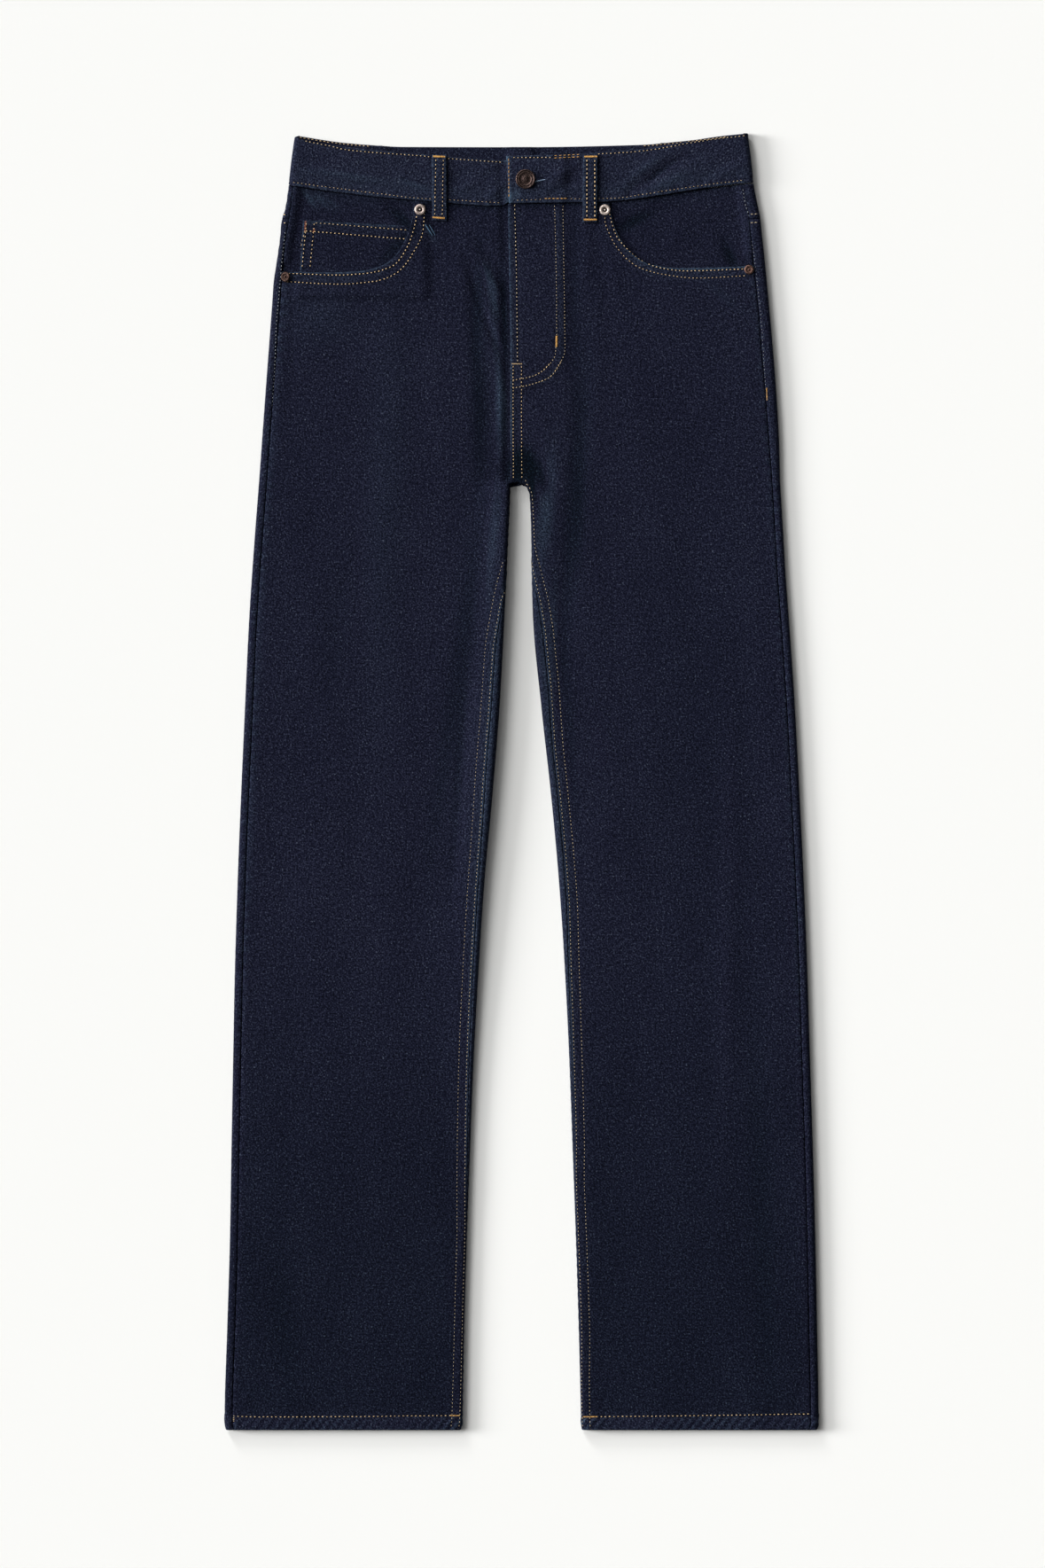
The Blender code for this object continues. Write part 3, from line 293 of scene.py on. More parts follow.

# %% [markdown]
# ## Creases, fading and painted shade
#
# Flat-laid denim is never quite flat. The main creases are listed, each a soft ridge or trough
# with its own centre, half length, half width, turn from the leg's direction and height. A second table
# gives places that are a little more faded or darker than the rest: some are worn or faded cloth, and many
# lie on the creases, painting shade into their troughs and highlight onto their ridges.

# %% Tables of creases, and of faded places and painted shade
# x, y, half length, half width, turn in degrees, height
CREASES = (
    # The wearer's right hip: a ridge that falls to the fly's edge, with slanting folds across it.
    (-29, 398, 62, 8, -8, 1.3), (-15, 404, 40, 3.6, -3, -1.3), (-34, 407, 30, 3.4, -18, -1.2),
    (-27, 428, 25, 3.4, -31, 1.1), (-20, 444, 20, 3.2, -38, -1), (-31, 452, 22, 3.6, -32, -0.9),
    (-18, 420, 20, 3, -35, 0.9), (-23, 380, 26, 3.2, -24, -1.1), (-40, 412, 50, 4.8, 0, -0.9),
    (-52, 440, 40, 5, -4, 0.4), (-31, 336, 62, 9, -3, -0.8), (-17, 326, 26, 4.4, 0, 0.6),
    (-34, 286, 44, 9, 3, -0.6), (-60, 468, 22, 7, 18, -0.4), (-78, 470, 12, 2.6, -36, 0.5),
    (-84, 462, 16, 3, -30, -0.4),
    # The wearer's left hip: a long trough beside the J, down the inner thigh.
    (45, 424, 76, 5.6, 0, -0.9), (51, 306, 84, 8, 4, -1), (63, 370, 110, 8, 2, 0.6),
    (38, 168, 96, 8, 4, -1), (56, 455, 34, 4.4, 3, 0.5), (68, 440, 34, 5, -6, -0.5),
    (82, 424, 28, 5, -12, 0.4), (20, 300, 26, 7, -24, 0.5), (16, 372, 14, 5, 60, 0.35),
    (18, 398, 16, 5, 40, -0.3), (6, 430, 20, 5, 20, 0.3), (14, 462, 18, 5, -30, -0.3),
    # The crotch, drawn in on both sides of the seam.
    (-10, 276, 22, 5, 14, -0.6), (16, 270, 22, 6, -28, -0.6), (-44, 240, 34, 8, 44, -0.35),
    (34, 262, 30, 8, -38, 0.4),
    # Side hips.
    (-170, 396, 34, 16, 50, 0.6), (-150, 360, 40, 12, 40, -0.4), (172, 417, 26, 5, -48, 0.5),
    (184, 407, 24, 5, -45, -0.45), (150, 397, 34, 9, -35, 0.3), (-120, 425, 24, 9, 70, -0.3),
    (120, 428, 26, 8, -75, -0.3), (-196, 372, 60, 6, 2, -0.3),
    # The legs, long and shallow.
    (-117, 250, 165, 17, 2, 0.8), (-158, 139, 50, 15, 4, -0.6), (-203, -465, 60, 13, -6, -0.6),
    (-125, -330, 120, 22, -4, 0.5), (-88, -90, 130, 16, 4, -0.4), (-170, -40, 120, 18, 3, 0.4),
    (-90, -480, 60, 15, 8, 0.35), (-196, -250, 90, 14, 2, -0.35), (176, -127, 190, 10, 1, 0.75),
    (206, -380, 170, 13, -2, -0.8), (115, 60, 130, 22, 3, 0.4), (150, 200, 90, 14, -3, -0.4),
    (100, -240, 120, 17, 4, -0.35), (130, -450, 70, 16, -5, 0.3), (190, 90, 80, 12, -3, -0.4),
    (70, -60, 80, 13, 6, 0.35), (-60, 120, 60, 12, 10, 0.4), (60, -340, 80, 12, 3, 0.3),
    (-60, -300, 90, 12, -4, -0.3), (-52, 20, 60, 5, 4, -0.5), (-57, -60, 40, 5, 5, -0.4),
    (40, 40, 90, 5, -4, -0.5),
)
# Short wrinkles above the hems, where the cloth is pulled up by the sewing.
CREASES += (
    (-236, -528, 12, 2.6, 24, 0.35), (-214, -526, 14, 2.8, -22, -0.35), (-186, -530, 12, 2.6, -32, 0.3),
    (-158, -526, 15, 2.8, -36, -0.35), (-132, -529, 12, 2.6, -30, 0.35), (-104, -527, 14, 2.8, -24, -0.3),
    (-78, -530, 12, 2.6, -30, 0.3), (72, -528, 13, 2.6, 26, -0.3), (98, -527, 14, 2.8, -34, 0.35),
    (126, -529, 12, 2.6, -28, -0.35), (158, -526, 15, 2.8, -36, 0.3), (186, -529, 12, 2.6, -30, -0.35),
    (212, -527, 14, 2.8, 26, 0.35), (236, -529, 12, 2.6, 20, -0.3),
)
# Wrinkles of the waistband, mostly slanting up to the wearer's left.
BAND_CREASES = (
    (117, 521, 22, 3, 53, -0.9), (106, 526, 20, 3.8, 54, 0.7), (128, 515, 20, 4, 60, 0.6),
    (94, 506, 12, 3.4, 40, -0.5), (140, 533, 18, 3.6, 70, -0.4), (176, 523, 16, 3.6, 66, 0.5),
    (158, 517, 14, 3.4, 60, -0.4), (182, 534, 14, 4, 72, -0.3), (-40, 512, 16, 3.6, 68, 0.6),
    (-28, 518, 16, 3.4, 60, -0.6), (-22, 506, 12, 3.2, 48, 0.5), (-52, 520, 14, 3.6, 74, -0.4),
    (30, 518, 18, 3.8, 58, 0.6), (39, 511, 18, 3.6, 60, -0.6), (24, 507, 14, 3.4, 64, 0.4),
    (48, 524, 12, 3.4, 50, -0.4), (-150, 520, 38, 4.6, 98, 0.55), (-140, 511, 34, 4, 99, -0.4),
    (-178, 530, 16, 4, 80, -0.4), (-108, 527, 20, 4.4, 104, -0.4), (-92, 515, 14, 3.8, 110, 0.4),
)
# Sags of the pocket facings: beside the top rivets, and at the left pocket's side.
FACING_CREASES = (
    (93, 480, 18, 5, 62, -1.1), (104, 489, 16, 4, 66, 0.5), (179, 450, 13, 4.5, -24, -0.9),
    (168, 458, 16, 5, -20, 0.4), (130, 462, 24, 7, 40, 0.3), (-103, 484, 16, 5, -50, -1),
    (-120, 491, 18, 4.5, -60, 0.4), (-176, 490, 16, 5, 50, 0.3),
)
# x, y, half length, half width, turn in degrees, fading: lighter for worn places and painted highlight on
# crease ridges, darker for painted shade in troughs and hollows
FADES_AND_PAINTED_SHADE = (
    (-117, 250, 170, 16, 2, 0.10), (-158, 139, 60, 14, 4, -0.12), (-203, -465, 60, 12, -6, -0.16),
    (-170, 397, 22, 30, 0, 0.12), (176, -127, 190, 6, 1, 0.14), (207, -380, 170, 10, -2, -0.22),
    (236, -300, 240, 6, 0.5, 0.08), (172, 417, 22, 4, -48, 0.12), (-15, 398, 42, 3.6, -2, -0.8),
    (-28, 384, 50, 9, -10, -0.1), (-32, 320, 60, 9, 0, -0.25), (-17, 328, 24, 4, 0, 0.25),
    (-35, 420, 30, 2.6, -20, 0.2), (-22, 408, 26, 2.4, -18, 0.2), (46, 412, 80, 5, 0, -0.3),
    (52, 300, 80, 7, 4, -0.35), (38, 168, 100, 7, 4, -0.4), (-8, 268, 16, 6, 10, -0.8),
    (14, 266, 18, 6, -24, -0.8), (-32, 412, 28, 2.6, -20, -0.25), (-26, 430, 24, 2.4, -31, 0.25),
    (-79, 470, 9, 1.8, -34, 0.4), (117, 521, 22, 2.6, 53, -0.5), (106, 526, 18, 3, 54, 0.2),
    (128, 514, 20, 4, 62, 0.2), (96, 480, 17, 4.5, 62, -0.9), (179, 450, 12, 4, -24, -0.8),
    (-102, 482, 15, 4.5, -45, -0.8), (-108, 458, 20, 6, 42, -0.6), (-54, 10, 80, 4, 4, -0.3),
    (42, 40, 90, 4, -4, -0.3), (-6, 503, 6, 6, 0, 0.5), (-38, 405, 56, 4.6, 2, -0.5),
    (-24, 388, 50, 4.6, -5, 0.35), (-25, 428, 20, 2, -24, 0.3), (-20, 402, 20, 2, -18, 0.3),
    # The waistband's corners are rubbed pale, and streaks fan out below its seam. Two entries paint highlight
    # onto ridges of the band's wrinkles.
    (-12.5, 533.5, 3, 2.6, 0, 1.1), (-10.5, 499, 4, 2.4, 0, 1.3), (-182, 500, 9, 1.9, -40, 0.8),
    (-172, 498, 9, 1.8, -45, 0.6), (-163, 496, 8, 1.8, -48, 0.4), (-150, 519, 34, 2.4, 98, 0.3),
    (-92, 511, 13, 2.2, 110, 0.35), (150, 0, 220, 60, 0, -0.14),
    # The crotch is darkened with painted shade, and clearer blue and darker bands run down from it, partly
    # painted highlight and shade along the creases.
    (-0.5, 270, 13, 5.8, 0, -2), (8.4, 256, 18, 2.6, -4, -1.4), (21, 232, 44, 6, 6, 0.55),
    (31, 140, 60, 7, 4, 0.35), (-18, 322, 36, 4.5, 0, 0.5), (-37, 316, 56, 5, 0, -0.3),
    (-24, 210, 46, 5, 5, 0.35), (-46, 150, 90, 9, 6, -0.35), (-66, 20, 90, 8, 8, -0.25),
    (49, 225, 50, 6, 3, -0.35),
)


def spots(table, x, y):
    """Sum of a table's soft spots at x, y."""
    total = np.zeros(np.broadcast(x, y).shape)
    for cx, cy, length, width, turn, height in table:
        turn = math.radians(turn)
        run = ((x - cx) * math.sin(turn) + (y - cy) * math.cos(turn)) / length
        off = ((x - cx) * math.cos(turn) - (y - cy) * math.sin(turn)) / width
        total += height * np.exp(-run * run - off * off)
    return total


def box_share(x, y, low, high, fade):
    """1 inside the box from low to high, falling to 0 over fade outside it."""
    dx = np.maximum(np.maximum(low[0] - x, x - high[0]), 0.0)
    dy = np.maximum(np.maximum(low[1] - y, y - high[1]), 0.0)
    return 1.0 - ease(np.hypot(dx, dy) / fade)


def swell(x, y):
    """Broad unevenness of cloth that has been worn and washed."""
    wide = 0.20 * np.sin(x / 19.0 + y / 77.0) * np.sin(y / 53.0 - x / 41.0)
    fine = 0.10 * np.sin(x / 7.3 - y / 31.0 + 1.3) * np.sin(y / 17.0 + x / 23.0)
    return wide + fine


print(len(CREASES) + len(BAND_CREASES), "creases and", len(FADES_AND_PAINTED_SHADE), "faded places")

# %% [markdown]
# ## Denim
#
# Denim is a cotton twill: indigo-dyed warp threads run down the leg and cross over three undyed weft
# threads at a time, so fine diagonal lines and pale specks show. Warp threads of uneven thickness give
# the long slubs. Where an edge rubs, the dye wears off the thread's surface and the cloth turns
# grey-blue. The colour is mixed from noise stretched along the thread, and a wear-and-shade attribute,
# painted on each panel, fades it where its edges and ridges rub, paints highlight onto crease ridges and
# paints shade into creases, hollows, the crotch and below the waistband; it also darkens towards the hem.

# %% Colours, nodes and finishes
def hex_colour(code):
    """sRGB hex to the linear colour that a shader reads."""
    parts = [int(code[i:i + 2], 16) / 255.0 for i in (1, 3, 5)]
    return tuple(c / 12.92 if c <= 0.04045 else ((c + 0.055) / 1.055) ** 2.4 for c in parts) + (1.0,)


def node(tree, kind, settings=None, inputs=None, stops=()):
    """Adds a node: sets its properties, links or sets its inputs by name or place, and fills its ramp."""
    made = tree.nodes.new(kind)
    for key, value in (settings or {}).items():
        setattr(made, key, value)
    for key, value in (inputs or {}).items():
        if isinstance(value, bpy.types.NodeSocket):
            tree.links.new(value, made.inputs[key])
        else:
            made.inputs[key].default_value = value
    if stops:
        elements = made.color_ramp.elements
        while len(elements) < len(stops):
            elements.new(0.5)
        for element, (place, code) in zip(elements, stops):
            element.position = place
            element.color = hex_colour(code)
    return made


def new_finish(name, looks):
    """A material whose shader inputs are set as given, with its tree and its shader."""
    made = bpy.data.materials.new(name)
    made.use_nodes = True
    shader = made.node_tree.nodes["Principled BSDF"]
    for key, value in looks.items():
        shader.inputs[key].default_value = value
    return made, made.node_tree, shader


print("indigo turned linear:", [round(c, 3) for c in hex_colour("#212335")[:3]])

# %% Denim finishes
# share of the weave, grains in a metre across and along the warp, turn in degrees, detail, roughness.
# Twill lines are 0.9 mm apart and specks 0.5 mm wide, drawn at 1.4 mm so that they show.
WEAVE = (
    (0.26, 760.0, 330.0, -32.0, 1.0, 0.5),  # the twill's lines
    (0.14, 740.0, 420.0, 38.0, 1.0, 0.5),  # fainter lines across them
    (0.58, 800.0, 760.0, 0.0, 1.0, 0.6),  # specks of weft
    (0.10, 640.0, 60.0, 0.0, 2.0, 0.6),  # slubs of uneven warp
)
CLOUD = (22.0, 9.0, 0.0, 3.0, 0.55)  # broad unevenness of the dye, in the same units
INDIGO = (
    (0.36, "#02030a"), (0.46, "#090b19"), (0.54, "#141626"), (0.61, "#212335"), (0.70, "#383e4e"),
    (0.81, "#6e7580"),
)


def denim(name, seed, fade=0.0):
    """Indigo denim, rope dyed and woven as a right-hand twill, washed once."""
    made, tree, shader = new_finish(name, {"Roughness": 0.92, "Specular IOR Level": 0.05})
    cloth = node(tree, "ShaderNodeUVMap", {"uv_map": "cloth"}).outputs["UV"]
    place = (seed * 0.37, seed * 0.71, 0.0)

    def grain(across, along, turn, detail, rough):
        """Noise whose grains are turned and stretched on the cloth."""
        turn = math.radians(turn)
        moved = node(tree, "ShaderNodeMapping", {}, {
            "Rotation": (0.0, 0.0, turn), "Location": place, 0: cloth})
        sized = node(tree, "ShaderNodeMapping", {}, {"Scale": (across, along, 1.0), 0: moved.outputs[0]})
        noise = node(tree, "ShaderNodeTexNoise", {}, {
            "Scale": 1.0, "Detail": detail, "Roughness": rough, "Vector": sized.outputs[0]})
        return noise.outputs["Fac"]

    weave = 0.0
    for share, *shape in WEAVE:
        inputs = {0: grain(*shape), 1: share, 2: weave}
        weave = node(tree, "ShaderNodeMath", {"operation": "MULTIPLY_ADD"}, inputs).outputs[0]
    wear_and_shade = node(tree, "ShaderNodeAttribute", {"attribute_name": "wear_and_shade"}).outputs["Fac"]
    total = weave
    for part, share in ((grain(*CLOUD), 0.06), (wear_and_shade, 0.04)):
        inputs = {0: part, 1: share, 2: total}
        total = node(tree, "ShaderNodeMath", {"operation": "MULTIPLY_ADD"}, inputs).outputs[0]
    # Half the cloud's share comes off again, so that it darkens as much as it lightens.
    total = node(tree, "ShaderNodeMath", {"operation": "ADD"}, {0: total, 1: fade - 0.03}).outputs[0]
    colour = node(tree, "ShaderNodeValToRGB", {}, {0: total}, INDIGO).outputs["Color"]
    # Where the attribute is positive the cloth loses dye in patches that follow the twill and turns a clearer
    # blue: wear at edges, and painted highlight on crease ridges.
    bare = node(tree, "ShaderNodeMath", {"operation": "MULTIPLY_ADD"}, {0: weave, 1: 2.4, 2: -0.95})
    patchy = node(tree, "ShaderNodeMath", {"operation": "MULTIPLY", "use_clamp": True},
                  {0: wear_and_shade, 1: bare.outputs[0]})
    faded = node(tree, "ShaderNodeMix", {"data_type": "RGBA", "blend_type": "MIX"},
                 {0: patchy.outputs[0], 6: colour, 7: hex_colour("#3c5062")})
    # Where it is negative the colour is darkened and made greener: painted shade in creases, hollows, the
    # crotch and below the waistband, and darker towards the hem.
    deep = node(tree, "ShaderNodeMath", {"operation": "MULTIPLY", "use_clamp": True}, {0: wear_and_shade, 1: -1.0})
    darkened_colour = node(tree, "ShaderNodeMix", {"data_type": "RGBA", "blend_type": "MULTIPLY"},
                {0: deep.outputs[0], 6: faded.outputs[2], 7: hex_colour("#9ad0c2")})
    bump = node(tree, "ShaderNodeBump", {}, {"Strength": 0.55, "Distance": 0.0004, "Height": weave})
    tree.links.new(darkened_colour.outputs[2], shader.inputs["Base Color"])
    tree.links.new(bump.outputs[0], shader.inputs["Normal"])
    return made


denim_leg_right = denim("indigo denim, right-hand twill, front right", 1)
denim_leg_left = denim("indigo denim, right-hand twill, front left", 2)
denim_back = denim("indigo denim, right-hand twill, back", 3)
denim_band = denim("indigo denim, doubled waistband", 4, 0.02)
denim_small = denim("indigo denim, pockets and loops", 5, 0.01)
# The facings' copy is shifted a little darker as painted shade; the coin pocket and fly pieces use it too.
denim_inside = denim("indigo denim, facings in the shade", 6, -0.01)
print("denim finishes:", len([m for m in bpy.data.materials if m.name.startswith("indigo")]))

# %% [markdown]
# ## A panel of cloth
#
# Every panel starts as a flat grid from bmesh. Its points are then moved to where the cloth lies, a row
# for each height and a column for each place across. Near a border the last rows or columns roll over
# by a small radius, so that the edge looks folded. Solidify gives the cloth its thickness.

# %% The panel builder
ROLL = 0.85  # radius of a folded edge
EDGE_ANGLES = tuple(math.radians(a) for a in (88.0, 55.0, 25.0))
EDGE_BACK = np.array([ROLL * (1.0 - math.sin(a)) for a in EDGE_ANGLES])  # in from the edge
EDGE_DEEP = np.array([ROLL * (1.0 - math.cos(a)) for a in EDGE_ANGLES])  # below the surface
shells, cuts = {}, {}  # for each piece: its surface for the needle, and its flat size


def shares(count, length, ends=0.5, low=True):
    """count shares of a run, closer near its ends, and how deep each lies where an end rolls over.

    Without low, only the far end rolls over."""
    start = ROLL / length if low else 0.0
    t = np.linspace(0.0, 1.0, count - len(EDGE_ANGLES) * (2 if low else 1))
    t = mix(start, 1.0 - ROLL / length, t - (1.0 - ends) * np.sin(2.0 * math.pi * t) / (2.0 * math.pi))
    deep = np.zeros(len(t))
    if low:
        t, deep = np.concatenate((EDGE_BACK / length, t)), np.concatenate((EDGE_DEEP, deep))
    t = np.concatenate((t, 1.0 - EDGE_BACK[::-1] / length))
    return t, np.concatenate((deep, EDGE_DEEP[::-1]))


def place_piece(mesh, finish):
    """The mesh as an object of its own name, in its finish, riding on the part's one body."""
    made = bpy.data.objects.new(mesh.name, mesh)
    bpy.context.scene.collection.objects.link(made)
    mesh.materials.append(finish)
    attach(made, "root")
    return made


def cloth_panel(name, points, cloth_uv, wear_and_shade, finish, flip=False, wall=CLOTH, weld=False):
    """A grid whose points, (rows, columns, 3) in millimetres, are already in place."""
    rows, columns = points.shape[:2]
    bm = bmesh.new()
    bmesh.ops.create_grid(bm, x_segments=columns - 1, y_segments=rows - 1, size=0.5)
    if flip:
        bmesh.ops.reverse_faces(bm, faces=bm.faces)
    mesh = bpy.data.meshes.new(name)
    bm.to_mesh(mesh)
    bm.free()
    flat = np.empty(len(mesh.vertices) * 3)
    mesh.vertices.foreach_get("co", flat)
    flat = flat.reshape(-1, 3)
    i = np.rint((flat[:, 0] + 0.5) * (columns - 1)).astype(int)
    j = np.rint((flat[:, 1] + 0.5) * (rows - 1)).astype(int)
    mesh.vertices.foreach_set("co", (points[j, i] * MM).ravel())
    loops = np.empty(len(mesh.loops), int)
    mesh.loops.foreach_get("vertex_index", loops)
    layer = mesh.uv_layers.new(name="cloth")
    layer.data.foreach_set("uv", (cloth_uv[j, i][loops] * MM).astype(np.float32).ravel())
    # The attribute holds wear, and painted shade and highlight, for the denim's colour.
    shade_and_wear = mesh.attributes.new("wear_and_shade", "FLOAT", "POINT")
    shade_and_wear.data.foreach_set("value", wear_and_shade[j, i].astype(np.float32))
    mesh.update()
    if weld:
        bm = bmesh.new()
        bm.from_mesh(mesh)
        bmesh.ops.remove_doubles(bm, verts=bm.verts, dist=0.00002)
        edges = [e for e in bm.edges if e.is_boundary]
        bmesh.ops.holes_fill(bm, edges=edges, sides=0)
        bm.to_mesh(mesh)
        bm.free()
    cuts[name] = tuple(float(np.ptp(cloth_uv[:, :, k])) * MM for k in (0, 1))
    mesh.shade_smooth()
    made = place_piece(mesh, finish)
    shells[name] = BVHTree.FromPolygons(
        [v.co.copy() for v in mesh.vertices], [tuple(p.vertices) for p in mesh.polygons])
    if wall:
        thick = made.modifiers.new("cloth thickness", "SOLIDIFY")
        thick.thickness = wall * MM
        thick.offset = -1.0
    return made


print("a rolled edge is", 2.0 * ROLL, "mm over its fold")

# %% [markdown]
# ## Front panels
#
# A front panel is one piece of denim from the hem to the waistband. Below the crotch it ends at the
# inseam, on the inner fold; above it ends at the fly. The top follows the pocket opening and the
# waistband seam. The hem is the same cloth turned up inside, so its rows start inside the leg, pass
# round the bottom edge and run on up the outside.

# %% Rows of the fronts, and their hems
HEM_ROLL = 1.1
ROPE_PITCH, ROPE_SLANT = 8.2, 0.85  # a hem's slanting waves


def hem_rows():
    """(y, how far inside) for the cloth that is turned up, and round the bottom edge."""
    rows = [(-546.5, 2.0 * HEM_ROLL), (-549.5, 2.0 * HEM_ROLL), (-552.5, 2.0 * HEM_ROLL)]
    for angle in (180.0, 150.0, 120.0, 90.0, 60.0, 30.0):
        angle = math.radians(angle)
        centre = HEM_BOTTOM + HEM_ROLL
        rows.append((centre - HEM_ROLL * math.sin(angle), HEM_ROLL * (1.0 - math.cos(angle))))
    return rows


def along_hem(y):
    """y, but for the turned rows the length along the cloth past the bottom edge."""
    path = np.array(hem_rows() + [(HEM_BOTTOM + HEM_ROLL, 0.0)])
    steps = np.hypot(*np.diff(path, axis=0).T)
    v = np.array(y, float)
    v[:len(steps)] = (path[-1, 0] - np.cumsum(steps[::-1])[::-1])[:, None]
    return v


def leg_heights():
    """Heights of the rows from the hem to the hip, closer at the hem and the crotch."""
    parts = [
        np.arange(HEM_BOTTOM + HEM_ROLL, -538.0, 1.35), np.arange(-538.0, 246.0, 3.0),
        np.arange(246.0, 252.0, 1.5), np.arange(252.0, 262.0, 0.8), np.arange(262.0, RISE_FROM, 2.6),
    ]
    return np.concatenate(parts)


def roping(x, y, side, slant=-ROPE_SLANT):
    """The slanting waves that sewing pulls into a hem."""
    return wobble(x + slant * (y - HEM_BOTTOM), 3.0 + side, ROPE_PITCH)


def hem_relief(x, y, side):
    """The doubled hem: thicker, pulled down along its sewing and roped on the slant between."""
    band = 1.0 - ease((y - (HEM_ROW + 1.6)) / 1.4)
    middle = bell(y - (HEM_ROW - 5.2), 4.6)
    return band * (0.45 + 0.75 * roping(x, y, side) * middle) - 0.35 * bell(y - HEM_ROW, 1.0)


print("rows below the hip:", len(leg_heights()) + len(hem_rows()))

# %% Where the fronts lie
OVER_COIN = ((-191.0, 418.0), (-84.0, 600.0))  # corners of the right front's rise over the coin pocket
JOIN_AT = 254.4  # where the inseam gives way to the centre seam


def standing(side, x, y):
    """Share by which the right leg stands higher along its inner fold, from the shin to the crotch."""
    away = np.maximum(-x - legs[RIGHT].inner(y) - 5.0, 0.0)
    along = 0.85 * ease((y + 330.0) / 350.0) * ease((263.0 - y) / 16.0)
    return along * bell(away, 20.0) * (side == RIGHT)


def front_relief(side, x, y):
    """How far the front's outer face lies above LEG_HEIGHT."""
    rise = spots(CREASES, x, y) + swell(x, y)
    if side == RIGHT:
        rise = rise + LAYER * box_share(x, y, *OVER_COIN, 7.0)
        # It sinks to pass under the left front, and further beside the fly facing.
        near = ease((x - (fly_edge(y) - 9.0)) / 6.5) * ease((y - CROTCH + 2.0) / 3.0)
        far = ease((x - (fly_edge(y) + 1.0)) / 4.5)
        beside = ease((y - 316.5) / 10.0)
        rise = mix(rise, -mix(LAYER, 1.3, beside), near)
        rise = rise - LAYER * far * beside * (1.0 - ease((y - 457.0) / 14.0))
    else:
        # Over the facing it lies higher, and each line of the J pulls a groove and ripples.
        over = ease((fly_curve(y) + 1.6 - x) / 2.4) * ease((y - FLY_LOW + 3.0) / 3.0)
        rise = rise + 0.7 * over
        inner = bell(x - (fly_curve(y) - 7.0), 0.9) + bell(x - fly_curve(y), 0.9)
        rise = rise - 0.22 * inner * ease((y - FLY_LOW - 4.0) / 10.0)
        ripple = wobble(y, 4.4, 9.5) * bell(x - (fly_curve(y) - 3.0), 9.0)
        rise = rise + 0.22 * ripple * ease((y - FLY_LOW) / 10.0)
    return rise


def front_line(side, w, y):
    """Leg and hip sections at the heights y, for the shares w from the inner end to the side seam."""
    leg = legs[side]
    y = y[:, None]
    outer, inner, out = leg.outer(y), leg.inner(y), leg.outseam(y)
    edge = leg.inseam(y)
    longest = QUARTER + (outer - inner - out) - RADIUS
    s = edge + (longest - edge) * w
    x_leg = side * (inner + arc_inside(s))
    away, up = arc_normal(s)
    x_end = 0.0 * y if side == RIGHT else fly_edge(y)
    x_hip = x_end + (side * (outer - out) - x_end) * w
    t = ease((y - JOIN_AT) / 3.2)
    x = mix(x_leg, x_hip, t)
    z = mix(arc_height(s), LEG_HEIGHT, t)
    normal_x, normal_z = mix(-side * away, 0.0, t), mix(up, 1.0, t)
    length = np.maximum(np.hypot(normal_x, normal_z), 1e-6)
    across = np.broadcast_to(side * (inner + s - QUARTER + RADIUS), x.shape)
    return {
        "x": x, "y": np.broadcast_to(y, x.shape), "z": z,
        "nx": normal_x / length, "nz": normal_z / length,
        "from_inner": w * (longest - edge), "from_side": (1.0 - w) * (longest - edge),
        "flat": mix(ease((s - QUARTER + 1.0) / 6.0), 1.0, t),
        "u": mix(across, x, t), "in_leg": np.broadcast_to(1.0 - t, x.shape),
    }


def front_top_line(side, w):
    """The top edge at the shares w: the waistband seam from the centre, then the pocket opening."""
    opening = smoothed(openings[side])[::-1]
    corner = opening[0]
    corner[1] = front_band_bottom(side, corner[0]) - GAP
    x_end = 0.0 if side == RIGHT else float(fly_edge(500.0))
    xs = np.linspace(x_end, corner[0], 60)
    seam = np.stack([xs, front_band_bottom(side, xs) - GAP], axis=1)
    seam_length, opening_length = abs(xs[-1] - xs[0]), 150.0
    split = w[np.argmin(np.abs(w - seam_length / (seam_length + opening_length)))]
    ticks = np.linspace(0.0, 1.0, 400)
    lines = []
    for line, share in ((seam, w / split), (opening, (w - split) / (1.0 - split))):
        line = resample(line, len(ticks))
        share = np.clip(share, 0.0, 1.0)
        lines.append(np.stack([np.interp(share, ticks, column) for column in line.T], axis=1))
    return np.where((w > split)[:, None], lines[1], lines[0]), split


def joined_lines(parts):
    """Sections of several stretches, put together into one run of rows."""
    return {key: np.concatenate([part[key] for part in parts]) for key in parts[0]}


print("the fly's edge at the waist lies at x", round(float(fly_edge(500.0)), 1), "mm")

# %% Front panels
FRONT_WIDTH, FRONT_TOP_LENGTH, FRONT_COLUMNS = 215.0, 245.0, 100


